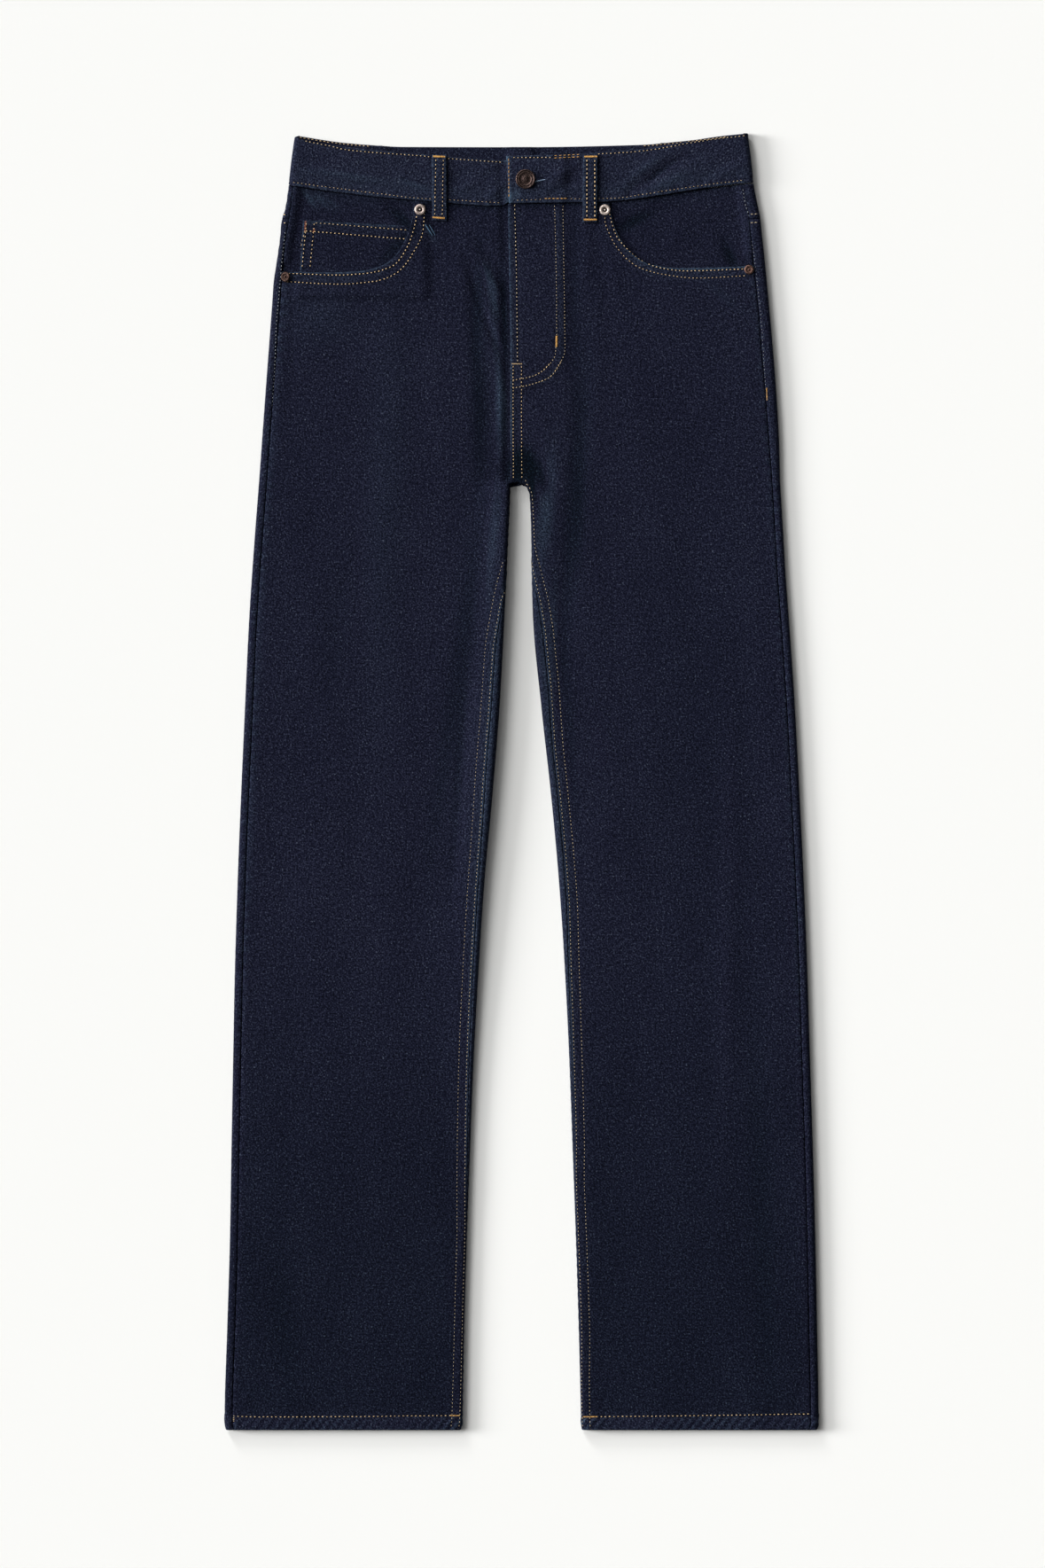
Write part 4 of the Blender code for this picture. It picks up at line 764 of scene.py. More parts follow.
def front_grid(side):
    """A front's smooth sections, how far its edges roll in, and how far each point is from the top.

    Last comes 1 for the columns that end on the pocket opening, and 0 for the others."""
    leg = legs[side]
    w, edge_in = shares(FRONT_COLUMNS, FRONT_WIDTH)
    turned = hem_rows()
    heights = np.concatenate([[y for y, _ in turned], leg_heights()])
    inset = np.concatenate([[deep for _, deep in turned], np.zeros(len(leg_heights()))])
    low = front_line(side, w, heights)
    # Above RISE_FROM the rows bend up to the top edge.
    steps = np.linspace(0.0, 1.0, 60)[1:] ** 0.92
    top, split = front_top_line(side, w)
    base = front_line(side, w, np.array([RISE_FROM]))
    bx, by = base["x"][0], base["y"][0]
    lengths = np.hypot(top[:, 0] - bx, top[:, 1] - by)
    t = steps[:, None] * (1.0 - ROLL / lengths)
    t = np.concatenate((t, 1.0 - EDGE_BACK[::-1, None] / lengths))
    row_in = np.concatenate((np.zeros(len(steps)), EDGE_DEEP[::-1]))
    y_rise = mix(by, top[:, 1], t)
    x_rise = mix(bx, top[:, 0], t)
    seam_x = side * (leg.outer(y_rise[:, -1:]) - leg.outseam(y_rise[:, -1:]))
    x_rise = x_rise + (seam_x - x_rise[:, -1:]) * w ** 3
    if side == LEFT:
        x_rise = x_rise + (fly_edge(y_rise[:, :1]) - x_rise[:, :1]) * (1.0 - w) ** 3
    upper = {key: np.broadcast_to(value, x_rise.shape) for key, value in base.items()}
    upper.update(x=x_rise, u=x_rise, y=y_rise)
    full = joined_lines((low, upper))
    below = np.hypot(top[:, 0] - low["x"], top[:, 1] - low["y"])
    to_top = np.concatenate([np.maximum(below, 60.0), (1.0 - t) * lengths])
    inset = np.concatenate([inset, row_in])[:, None]
    inset = np.maximum(inset, np.broadcast_to(edge_in, full["x"].shape))
    return full, inset, to_top, ease((w - split) / 0.02)[None, :]


def front_panel(side, name, finish):
    """One front, with its creases, the ripples along its seams, its worn places and its painted shade."""
    full, inset, to_top, on_opening = front_grid(side)
    x, y, z = full["x"], full["y"], full["z"]
    from_side, from_inner, in_leg = full["from_side"], full["from_inner"], full["in_leg"]
    side_wave = wobble(y, 1.0 + side, 10.5)
    inner_wave = wobble(y, 2.0 - side, 8.6)
    rise = front_relief(side, x, y) * ease((from_side + 2.0) / 12.0) + hem_relief(x, y, side)
    rise += -0.30 * bell(from_side, 1.6) + 0.34 * side_wave * bell(from_side - 2.0, 6.5)
    lap = in_leg * (0.30 * bell(from_inner, 2.4) - 0.22 * bell(from_inner - 2.1, 0.9)
                    - 0.18 * bell(from_inner - 9.0, 1.0) + 0.26 * inner_wave * bell(from_inner - 5.0, 6.0))
    along_top = np.linspace(0.0, FRONT_TOP_LENGTH, FRONT_COLUMNS)[None, :]
    top_wave = wobble(along_top, 5.0 + side, 9.0)
    lip = on_opening * (-0.2 * bell(to_top - 1.9, 0.9) - 0.2 * bell(to_top - 9.4, 1.0)
                        + 0.22 * top_wave * bell(to_top - 5.0, 5.5))
    seam_wave = (1.0 - on_opening) * 0.3 * wobble(along_top, 8.0, 11.0) * bell(to_top, 9.0)
    rise = (rise + lip + seam_wave) * full["flat"] + lap
    fly = ease((y - 255.0) / 6.0) * (side == LEFT)
    fly_wave = wobble(y, 7.7, 12.0)
    rise = rise + fly * (0.25 * bell(from_inner, 2.2) - 0.2 * bell(from_inner - 6.4, 1.0)
                         + 0.18 * fly_wave * bell(from_inner - 4.0, 6.0))
    z = (z + full["nz"] * (rise - inset)) * (1.0 + standing(side, x, y))
    x = x + full["nx"] * (np.clip(rise, -0.3, 0.5) - inset)

    # The table adds faded places and painted shade and highlight on the creases; the cloth is darker towards
    # the hem.
    wear_and_shade = spots(FADES_AND_PAINTED_SHADE, x, y) - 0.34 * ease((-y - 60.0) / 420.0)
    wear_and_shade = wear_and_shade + (0.14 + 0.16 * side_wave) * bell(from_side - 1.0, 4.0)
    wear_and_shade = wear_and_shade + in_leg * ((0.30 + 0.25 * inner_wave) * bell(from_inner, 2.0)
                            + 0.08 * bell(from_inner - 5.0, 7.0))
    wear_and_shade = wear_and_shade + in_leg * (0.30 if side == RIGHT else 0.2) * bell(from_inner - 0.5, 3.0)
    band = 1.0 - ease((y - (HEM_ROW + 0.6)) / 1.2)
    wear_and_shade = wear_and_shade + band * (0.36 + 0.66 * roping(x, y, side)) + 0.2 * bell(y - HEM_BOTTOM, 1.4)
    lip_wear = 0.75 if side == RIGHT else 1.3
    wear_and_shade = wear_and_shade + on_opening * ((lip_wear + 0.25 * top_wave) * bell(to_top, 1.5)
                                + 0.16 * bell(to_top - 5.0, 5.0))
    # Painted shadow on the front just below the waistband seam.
    wear_and_shade = wear_and_shade - (1.0 - on_opening) * 0.5 * bell(to_top, 3.0)
    wear_and_shade = wear_and_shade + fly * ((0.62 + 0.3 * fly_wave) * bell(from_inner, 1.6) + 0.10 * bell(from_inner - 3.0, 5.0))
    if side == LEFT:
        wear_and_shade = wear_and_shade + 0.12 * bell(x - (fly_curve(y) - 3.5), 4.0) * ease((y - FLY_LOW) / 8.0)
    points = np.stack([x, y, z], axis=2)
    cloth_uv = np.stack([full["u"] - legs[side].grain(y), along_hem(y)], axis=2)
    return cloth_panel(name, points, cloth_uv, wear_and_shade, finish, flip=side == RIGHT)


front_right = front_panel(RIGHT, "front_panel_right", denim_leg_right)
front_left = front_panel(LEFT, "front_panel_left", denim_leg_left)
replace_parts(front_right, "front_leg_right")
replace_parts(front_left, "front_leg_left")
print("front panel faces:", len(front_right.data.polygons), len(front_left.data.polygons))

# %% [markdown]
# ## Back panels and yokes
#
# A back panel lies on the surface and wraps up round both folds, so a strip of it shows beside each side
# seam and inseam. It steps up over the back pockets and the belt loops that lie below it. The yoke
# closes it to the waistband, along a seam that rises to the sides.

# %% Where the backs lie
POCKET_TOP, POCKET_INSIDE, POCKET_WIDTH = 416.0, 42.0, 138.0
POCKET_SIDE, POCKET_POINT = 112.0, 145.0  # a back pocket's depth at its sides and at its point
LOOP_WIDTH, LOOP_WALL, BACK_LOOP_BELOW = 11.4, 1.8, 18.0
FRONT_LOOP_WIDTH = 12.6
BACK_TOP_FROM = 400.0  # from here up the rows bend to the yoke's seam
BACK_INNER, BACK_MIDDLE, BACK_OUTER = 11, 24, 14  # columns round the inner fold, across and up the outer one
WRAP = 14.0  # about how far a back goes round its outer fold
# x, y, half length, half width, turn in degrees, how far the cloth lifts off the surface
BACK_CREASES = (
    (-150, 150, 90, 16, 4, 0.7), (-120, -150, 150, 18, -3, 0.6), (-190, -330, 120, 16, 3, 0.6),
    (-90, -420, 90, 16, 6, 0.5), (-60, 215, 40, 11, 50, 0.7), (-90, 190, 46, 12, 62, 0.7),
    (140, 120, 110, 17, -4, 0.7), (110, -120, 140, 18, 3, 0.6), (180, -300, 120, 15, -2, 0.6),
    (90, -430, 80, 15, -5, 0.5), (55, 220, 40, 11, -48, 0.7), (92, 196, 44, 12, -60, 0.7),
)


def back_rise(side, x, y):
    """Height of the back's outer face, over its pocket, loops and creases."""
    out = side * x
    low = (POCKET_INSIDE - 4.0, POCKET_TOP - POCKET_POINT - 5.0)
    high = (POCKET_INSIDE + POCKET_WIDTH + 3.0, POCKET_TOP + 3.0)
    rise = box_share(out, y, low, high, 9.0)
    for at in (0.0, BACK_LOOP_AT):
        half = LOOP_WIDTH / 2.0 + 1.5
        foot = back_band_bottom(side * at) - BACK_LOOP_BELOW - 1.5
        rise = np.maximum(rise, box_share(out, y, (at - half, foot), (at + half, 600.0), 7.0))
    return LAYER * rise + spots(BACK_CREASES, x, y) * (1.0 - rise)


def back_line(side, y, y_front=None, flat_y=None):
    """Sections of a back, from the inseam or centre seam down, across and up to the side seam.

    y_front is the height where the outer wrap ends, flat_y the heights of the flat columns."""
    leg = legs[side]
    y = y[:, None]
    outer, inner, out = leg.outer(y), leg.inner(y), leg.outseam(y)
    t = ease((y - JOIN_AT + 3.0) / 3.0)
    k = np.linspace(0.0, 1.0, BACK_INNER)[None, :]
    start = leg.inseam(y) - GAP
    s = mix(start, -QUARTER, k)
    away, up = arc_normal(s)
    x = mix(side * (inner + arc_inside(s)), side * (GAP / 2.0 + 14.0 * k), t)
    z = mix(arc_height(s), 0.0, t)
    nx, nz = mix(-side * away, 0.0, t), mix(up, -1.0, t)
    u = side * (inner + RADIUS - (s + QUARTER)) * (1.0 - t) + x * t
    first = np.broadcast_to(x[:, -1:], y.shape)
    m = np.linspace(0.0, 1.0, BACK_MIDDLE + 2)[None, 1:-1]
    flat_x = first + (side * (outer - RADIUS) - first) * m
    turn, edge_in = shares(BACK_OUTER, WRAP, 0.8, low=False)
    length = QUARTER + QUARTER + out - RADIUS - GAP
    turn = np.where(turn > 0.9, 1.0 - (1.0 - turn) * WRAP / length, turn)
    o = -QUARTER + length * turn
    y_wrap = np.broadcast_to(y, o.shape)
    if y_front is not None:
        share = np.clip((o / -QUARTER - 1.0) / -2.0, 0.0, 1.0)
        y_wrap = mix(y, y_front[:, None], share)
        outer = leg.outer(y_wrap)
    away_o, up_o = arc_normal(o)
    x_o = side * (outer - arc_inside(o))
    z_flat = np.zeros(flat_x.shape)
    y_flat = np.broadcast_to(y, flat_x.shape) if flat_y is None else flat_y(flat_x)
    y_inner = np.broadcast_to(y, x.shape) if flat_y is None else flat_y(x)
    deep = np.concatenate([np.zeros(BACK_INNER + BACK_MIDDLE), edge_in])
    u_o = side * (outer - RADIUS + (o + QUARTER))
    shape = (y.shape[0], BACK_INNER + BACK_MIDDLE + BACK_OUTER)
    return {
        "x": np.concatenate([x, flat_x, x_o], axis=1),
        "y": np.concatenate([y_inner, y_flat, y_wrap], axis=1),
        "z": np.concatenate([z, z_flat, arc_height(o)], axis=1),
        "nx": np.concatenate([nx, z_flat, side * away_o], axis=1),
        "nz": np.concatenate([nz, z_flat - 1.0, up_o], axis=1),
        "u": np.concatenate([u, flat_x, u_o], axis=1),
        "deep": np.broadcast_to(deep, shape),
        "from_side": np.concatenate([np.full((shape[0], BACK_INNER + BACK_MIDDLE), 99.0),
                                     length * (1.0 - turn)], axis=1),
        "from_inner": np.concatenate([np.broadcast_to(start + QUARTER, (shape[0], 1)) * k,
                                      np.full((shape[0], BACK_MIDDLE + BACK_OUTER), 99.0)], axis=1),
        "in_leg": np.broadcast_to(1.0 - t, shape),
    }


print("columns across a back:", BACK_INNER + BACK_MIDDLE + BACK_OUTER)

# %% Back panels and yokes
def finish_back(side, name, parts, inset):
    """A back piece from its sections: ripples along the seams, a roped hem, worn edges and painted crease
    shade.
    """
    line = joined_lines(parts)
    x, y, z = line["x"], line["y"], line["z"]
    nx, nz = line["nx"], line["nz"]
    length = np.maximum(np.hypot(nx, nz), 1e-6)
    nx, nz = nx / length, nz / length
    flat = ease((-nz - 0.9) / 0.1)
    side_wave, inner_wave = wobble(y, 6.0 + side, 10.0), wobble(y, 9.0 - side, 9.0)
    ripple = 0.34 * side_wave * bell(line["from_side"] - 2.0, 5.0) * (1.0 - flat)
    ripple = ripple - 0.25 * bell(line["from_side"], 1.4)
    ripple = ripple + line["in_leg"] * 0.25 * inner_wave * bell(line["from_inner"], 5.0) * (1.0 - flat)
    band = (1.0 - ease((y - (HEM_ROW + 1.6)) / 1.4)) * (1.0 - flat)
    rope = roping(line["u"], y, side, ROPE_SLANT)
    ripple = ripple + band * (0.30 + 0.30 * rope)
    depth = np.maximum(line["deep"], inset[:, None])
    z = (z + nz * (ripple - depth)) * (1.0 + standing(side, x, y) * (1.0 - flat))
    z = z + flat * back_rise(side, x, y)
    x = x + nx * (ripple - depth)
    # The table's faded places and painted crease shade, weaker here, and darker towards the hem.
    wear_and_shade = spots(FADES_AND_PAINTED_SHADE, x, y) * 0.6 - 0.30 * ease((-y - 60.0) / 420.0)
    wear_and_shade = wear_and_shade + (0.12 + 0.16 * side_wave) * bell(line["from_side"] - 1.0, 4.0)
    wear_and_shade = wear_and_shade + line["in_leg"] * (0.30 + 0.2 * inner_wave) * bell(line["from_inner"], 5.0)
    wear_and_shade = wear_and_shade + line["in_leg"] * (0.15 if side == RIGHT else 0.1) * bell(line["from_inner"], 7.0)
    hem_wear = (1.0 - ease((y - (HEM_ROW + 0.6)) / 1.2)) * (0.26 + 0.34 * rope)
    wear_and_shade = wear_and_shade + hem_wear + 0.2 * bell(y - HEM_BOTTOM, 1.4)
    points = np.stack([x, y, z], axis=2)
    cloth_uv = np.stack([line["u"] - legs[side].grain(y), along_hem(y) if inset.any() else y], axis=2)
    return cloth_panel(name, points, cloth_uv, wear_and_shade, denim_back, flip=side == LEFT)


def back_panel(side, name):
    """A back from its turned hem to the yoke's seam."""
    turned = hem_rows()
    heights = leg_heights()
    heights = np.concatenate([[y for y, _ in turned], heights[heights < RISE_FROM],
                              np.arange(RISE_FROM, BACK_TOP_FROM, 3.2)])
    inset = np.concatenate([[deep for _, deep in turned], np.zeros(len(heights) - len(turned))])
    parts = [back_line(side, heights)]
    half_gap = GAP / 2.0
    bent_rows = 20
    for t in np.linspace(0.0, 1.0, bent_rows):
        y_side = np.array([mix(BACK_TOP_FROM, YOKE_SEAM_SIDE - half_gap, t)])
        parts.append(back_line(side, y_side, None,
                               lambda x, t=t: mix(BACK_TOP_FROM, yoke_seam(side, x) - half_gap, t)))
    inset = np.concatenate([inset, np.zeros(bent_rows)])
    return finish_back(side, name, parts, inset)


def yoke_panel(side, name):
    """A yoke from the back's seam to the waistband, higher at its front end."""
    half_gap = GAP / 2.0
    rows = 18
    fold_x = side * float(legs[side].outer(514.0))
    side_low = float(back_band_bottom(fold_x)) - GAP
    side_high = float(front_band_bottom(side, fold_x)) - 2.0 * GAP
    parts = []
    for t in np.linspace(0.0, 1.0, rows):
        y_back = np.array([mix(YOKE_SEAM_SIDE + half_gap, side_low, t)])
        y_front = np.array([mix(YOKE_SEAM_SIDE + half_gap, side_high, t)])
        parts.append(back_line(side, y_back, y_front, lambda x, t=t: mix(
            yoke_seam(side, x) + half_gap, back_band_bottom(x) - GAP, t)))
    return finish_back(side, name, parts, np.zeros(rows))


back_right = back_panel(RIGHT, "back_panel_right")
back_left = back_panel(LEFT, "back_panel_left")
yoke_right = yoke_panel(RIGHT, "yoke_right")
yoke_left = yoke_panel(LEFT, "yoke_left")
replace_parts(back_right, "back_leg_right")
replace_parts(back_left, "back_leg_left")
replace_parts(yoke_right, "yoke_back_right")
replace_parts(yoke_left, "yoke_back_left")
print("back panel faces:", len(back_right.data.polygons), len(back_left.data.polygons))

# %% [markdown]
# ## Pockets and fly
#
# Inside each curved opening a facing of the same denim closes the pocket, and on the right one the small
# coin pocket is sewn. The back pockets are plain patches below the back panels. Under the left front
# the J-shaped facing and the underlap finish the fly. They hardly show, but they hold the layers apart.

# %% Pockets and fly pieces
FACING_TOP = LEG_HEIGHT - LAYER
COIN_SIDE, COIN_END = -187.3, -89.0
COIN_TOP_SIDE, COIN_TOP_END = 481.0, 475.8


def opening_y(side, x):
    table = openings[side]
    return curve(table[:, 0], table[:, 1])(x)


def patch(name, finish, across, up, place, wall, flip, seed, edge=0.5, puff=0.15):
    """A flat piece of cloth: place(t, v) gives its x, y, z for shares across and up."""
    t, deep_t = shares(across[0], across[1])
    v, deep_v = shares(up[0], up[1])
    t, v = np.meshgrid(t, v)
    x, y, z = place(t, v)
    down = np.maximum(*np.meshgrid(deep_t, deep_v))
    sign = -1.0 if flip else 1.0
    from_edge = np.minimum(np.minimum(t, 1.0 - t) * across[1], np.minimum(v, 1.0 - v) * up[1])
    wave = wobble(x + y, seed, 9.0)
    z = z + sign * (puff * wave * bell(from_edge - 3.0, 5.0) - down)
    # Worn edges, with the table's faded places and painted crease shade.
    wear_and_shade = (edge + 0.3 * wave) * bell(from_edge, 1.8) + 0.06 * bell(from_edge - 4.0, 5.0) + spots(FADES_AND_PAINTED_SHADE, x, y)
    upside = (x[0, -1] > x[0, 0]) == (not flip)
    return cloth_panel(name, np.stack([x, y, z], axis=2), np.stack([x, y], axis=2), wear_and_shade, finish,
                       flip=not upside, wall=wall)


def pocket_facing(side, name):
    """The cloth seen inside a pocket opening, flush with the front along the side seam."""
    end = openings[side][-1, 0] - side * 11.0
    seam_low = float(openings[side][0, 1])

    def place(t, v):
        y_seam = mix(seam_low - 9.0, 500.0, v)
        leg = legs[side]
        x = mix(side * (leg.outer(y_seam) - leg.outseam(y_seam) - 0.7), end, t ** 1.15)
        low = opening_y(side, x + side * 4.0) - 9.0 - 3.0 * t
        high = front_band_bottom(side, x) - GAP
        y = mix(np.minimum(low, high - 14.0), high, v)
        seam = side * (leg.outer(y) - leg.outseam(y) - 0.7)
        x = np.where(t <= 0.0, seam, x)
        inside = side * (seam - x)
        flush = (1.0 - ease((inside - 1.0) / 8.0)) * ease((y - seam_low - 3.0) / 8.0)
        sag = 0.3 * np.sin(x / 13.0 + side) * np.sin(y / 11.0)
        sag = (sag + spots(FACING_CREASES, x, y)) * ease(inside / 10.0)
        return x, y, FACING_TOP + LAYER * flush + sag - 0.3

    return patch(name, denim_inside, (56, 115.0), (34, 65.0), place, 0.7, False, 2.0 + side, 0.15, 0.2)


def coin_place(t, v):
    """The coin pocket, dented by the two rows of its hem."""
    x = mix(COIN_SIDE - 3.0 * (1.0 - v), COIN_END, t)
    low = np.minimum(opening_y(RIGHT, x) - 8.0, 461.0)
    y = mix(low, mix(COIN_TOP_SIDE, COIN_TOP_END, t), v)
    dent = 0.25 * bell(y - mix(478.9, 472.6, t), 0.9) + 0.25 * bell(y - mix(471.9, 464.9, t), 0.9)
    return x, y, LEG_HEIGHT - 0.2 - dent + 0.2 * np.sin(x / 17.0)


def back_pocket(side, name):
    """A five-sided patch under the back."""
    def place(t, v):
        slant = mix(4.0, 0.0, v)
        x = side * mix(POCKET_INSIDE + slant, POCKET_INSIDE + POCKET_WIDTH - slant, t)
        low = POCKET_TOP - mix(POCKET_POINT, POCKET_SIDE, np.abs(2.0 * t - 1.0))
        return x, mix(low, POCKET_TOP, v), np.zeros(x.shape)

    return patch(name, denim_small, (44, 138.0), (40, 130.0), place, 1.3, True, 4.0 + side, 0.6, 0.0)


def facing_place(t, v):
    """The fly facing, whose free edge bends in like the J."""
    low = 336.5
    y = mix(low, 455.0, v ** 1.4)
    bend = np.clip(1.0 - (y - low) / 30.0, 0.0, 1.0)
    end = fly_edge(y) + 47.5 - 30.0 * (1.0 - np.sqrt(1.0 - 0.98 * bend ** 2))
    return mix(-3.0, end, t), y, np.full(t.shape, 5.3)


def underlap_place(t, v):
    return mix(0.3, 22.0, t), mix(344.5, 455.0, v), np.full(t.shape, 3.4)


facing_right = pocket_facing(RIGHT, "pocket_facing_inside_right")
facing_left = pocket_facing(LEFT, "pocket_facing_inside_left")
coin = patch("coin_pocket_cloth", denim_inside, (60, 98.0), (24, 40.0), coin_place, 1.0, False, 3.0, 0.55)
pocket_right = back_pocket(RIGHT, "back_pocket_patch_right")
pocket_left = back_pocket(LEFT, "back_pocket_patch_left")
fly_inner = patch("fly_facing_cloth", denim_inside, (24, 47.0), (40, 118.0), facing_place, 1.3, False, 1.0)
fly_under = patch("fly_underlap_cloth", denim_inside, (16, 22.0), (36, 110.0), underlap_place, 1.3, False,
                  1.5)
POCKET_PIECES = (
    (facing_right, "pocket_facing_right"), (facing_left, "pocket_facing_left"), (coin, "coin_pocket"),
    (pocket_right, "back_pocket_right"), (pocket_left, "back_pocket_left"), (fly_inner, "fly_facing"),
    (fly_under, "fly_underlap"),
)
for piece, solid in POCKET_PIECES:
    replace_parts(piece, solid)
print("pocket and fly pieces:", len(POCKET_PIECES))

# %% [markdown]
# ## Waistband and belt loops
#
# The waistband is one strip of denim folded along its top edge, with its raw edges turned in at the
# bottom, so in section it is a flat loop with round edges. It runs from its right end, under the left
# one, round the right side, along the back and round to the left end. A belt loop is the same kind of
# flat tube, only narrow. Both are built as closed rings of points carried along a path.

# %% Waistband
BAND_WALL = 2.3
BAND_RADIUS = BAND_HEIGHT / 2.0
BAND_QUARTER = BAND_RADIUS * math.pi / 2.0
BAND_TURN, BAND_SIDE = 190.0, 194.0  # where the strip starts to turn at the sides, and its outermost line
BAND_END = -13.2  # the left end, which laps over the right one


def ring(height, wall, sides, back=6):
    """Shares up the face and depths behind it, once round a flat tube with round edges."""
    r = wall / 2.0
    face = mix(r / height, 1.0 - r / height, np.linspace(0.0, 1.0, sides))
    angles = np.linspace(0.0, math.pi, 7)[1:-1]
    up = list(zip(face, np.zeros(sides)))
    over = [(1.0 - (r - r * math.sin(a)) / height, r - r * math.cos(a)) for a in angles]
    down = list(zip(mix(1.0 - r / height, r / height, np.linspace(0.0, 1.0, back)), np.full(back, wall)))
    under = [((r - r * math.sin(a)) / height, r + r * math.cos(a)) for a in angles]
    rows = np.array(up + over + down + under + up[:1])
    return rows[:, 0], rows[:, 1]


def girth(share, depth, height):
    """How far along the cloth each point of a ring lies."""
    return np.cumsum(np.hypot(np.diff(share, prepend=share[0]) * height, np.diff(depth, prepend=0.0)))


def band_back_height(x):
    """How far the back of the strip is held up by the belt loops below it."""
    rise = np.zeros(np.shape(x))
    for at in (-BACK_LOOP_AT, 0.0, BACK_LOOP_AT):
        rise = np.maximum(rise, 1.0 - ease((np.abs(x - at) - LOOP_WIDTH / 2.0 - 1.0) / 8.0))
    return LAYER * rise


def band_column(kind, side, at, share):
    """x, y and z up one column of the strip, the way out there, sideways and up, and the strip's depth."""
    if kind == "fold":
        up = (at / BAND_QUARTER + 1.0) / 2.0
        end = side * BAND_SIDE
        top = mix(back_top[0](end), front_top[side][0](end), up)
        high = mix(back_top[1](end), front_top[side][1](end), up)
        y = top - high * (1.0 - share)
        inside = BAND_RADIUS * (1.0 - math.cos(at / BAND_RADIUS))
        x = side * (legs[side].outer(y) - inside)
        z = np.full(y.shape, BAND_RADIUS + BAND_RADIUS * math.sin(at / BAND_RADIUS))
        return x, y, z, side * math.cos(at / BAND_RADIUS), math.sin(at / BAND_RADIUS), high
    table = back_top if kind == "back" else front_top[side]
    top, high = table[0](at), table[1](at)
    y = top - high * (1.0 - share)
    x = np.full(y.shape, at)
    if kind == "back":
        return x, y, np.full(y.shape, float(band_back_height(at))), 0.0, -1.0, high
    if side == RIGHT:
        lift = -1.1 * float(ease((at + 24.0) / 8.0))
    else:
        lift = 1.6 * float(1.0 - ease((at - 34.0) / 9.0))
        x = x + 2.6 * (1.0 - share) * float(1.0 - ease((at - BAND_END) / 12.0))
    return x, y, np.full(y.shape, BAND_HEIGHT + lift), 0.0, 1.0, high


def waistband(name):
    """Columns along the strip, each with a ring round it."""
    share, depth = ring(41.0, BAND_WALL, 20)
    kinds = [("front", RIGHT, x) for x in np.linspace(30.0, -BAND_TURN, 130)]
    kinds += [("fold", RIGHT, s) for s in np.linspace(BAND_QUARTER, -BAND_QUARTER, 12)]
    kinds += [("back", 0, x) for x in np.linspace(-BAND_TURN, BAND_TURN, 150)]
    kinds += [("fold", LEFT, s) for s in np.linspace(-BAND_QUARTER, BAND_QUARTER, 12)]
    kinds += [("front", LEFT, x) for x in np.linspace(BAND_TURN, BAND_END, 130)]
    places = [band_column(*kind, share) for kind in kinds]
    runs = distances(np.array([(x[0], y[0], z[0]) for x, y, z, *_ in places]))
    middle = BAND_WALL / 2.0
    columns, shade_and_wear = [], []
    for number, (x, y, z, nx, nz, high) in enumerate(places):
        kind, side, at = kinds[number]
        wave = float(wobble(runs[number], 2.2, 13.0))
        lower = float(wobble(runs[number], 7.1, 10.0))
        face = bell(depth, 0.4) * (1.0 if nz > -0.5 else 0.0)
        from_low, from_top = share * high, (1.0 - share) * high
        bumps = 0.25 * np.sin(math.pi * np.clip((share - 0.08) / 0.84, 0.0, 1.0))
        bumps = bumps + 0.26 * lower * bell(from_low - 3.4, 5.0)
        bumps = bumps + 0.16 * wave * bell((share - 0.93) * high, 5.0)
        bumps = face * (bumps - 0.20 * bell(from_top - 2.0, 0.9) - 0.24 * bell(from_low - 3.4, 0.9))
        # The strip's inner face, which shows above the front, is darkened with painted shade.
        wear_and_shade = 0.1 - 0.30 * bell(depth - BAND_WALL, 0.4)
        if kind == "front":
            bumps = bumps + 1.5 * face * spots(BAND_CREASES, x, y)
            # Wear along the edges, with the table's faded places and painted shade and highlight on the
            # wrinkles.
            wear_and_shade = (0.34 + 0.3 * lower) * bell(from_low - 0.9, 1.2) + 0.12 * bell(from_low - 9.0, 6.0)
            wear_and_shade = wear_and_shade + (0.30 + 0.3 * wave) * bell(from_top, 1.6) + 0.06 + spots(FADES_AND_PAINTED_SHADE, x, y)
            wear_and_shade = face * (wear_and_shade + (0.5 * float(bell(at - BAND_END, 2.4)) if side == LEFT else 0.0))
        fullness = 0.5 if number in (0, len(kinds) - 1) else 1.0  # the ends are pressed thin
        drop = middle + (depth - middle) * fullness - bumps
        columns.append(np.stack([x - nx * drop, y, z - nz * drop], axis=1))
        shade_and_wear.append(wear_and_shade)
    around = girth(share, depth, 40.0)
    cloth_uv = np.stack(np.broadcast_arrays(runs[None, :], around[:, None]), axis=2)
    return cloth_panel(name, np.stack(columns, axis=1), cloth_uv, np.stack(shade_and_wear, axis=1), denim_band,
                       flip=True, wall=None, weld=True)


band = waistband("waistband_cloth")
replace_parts(band, "waistband")
print("waistband faces:", len(band.data.polygons))

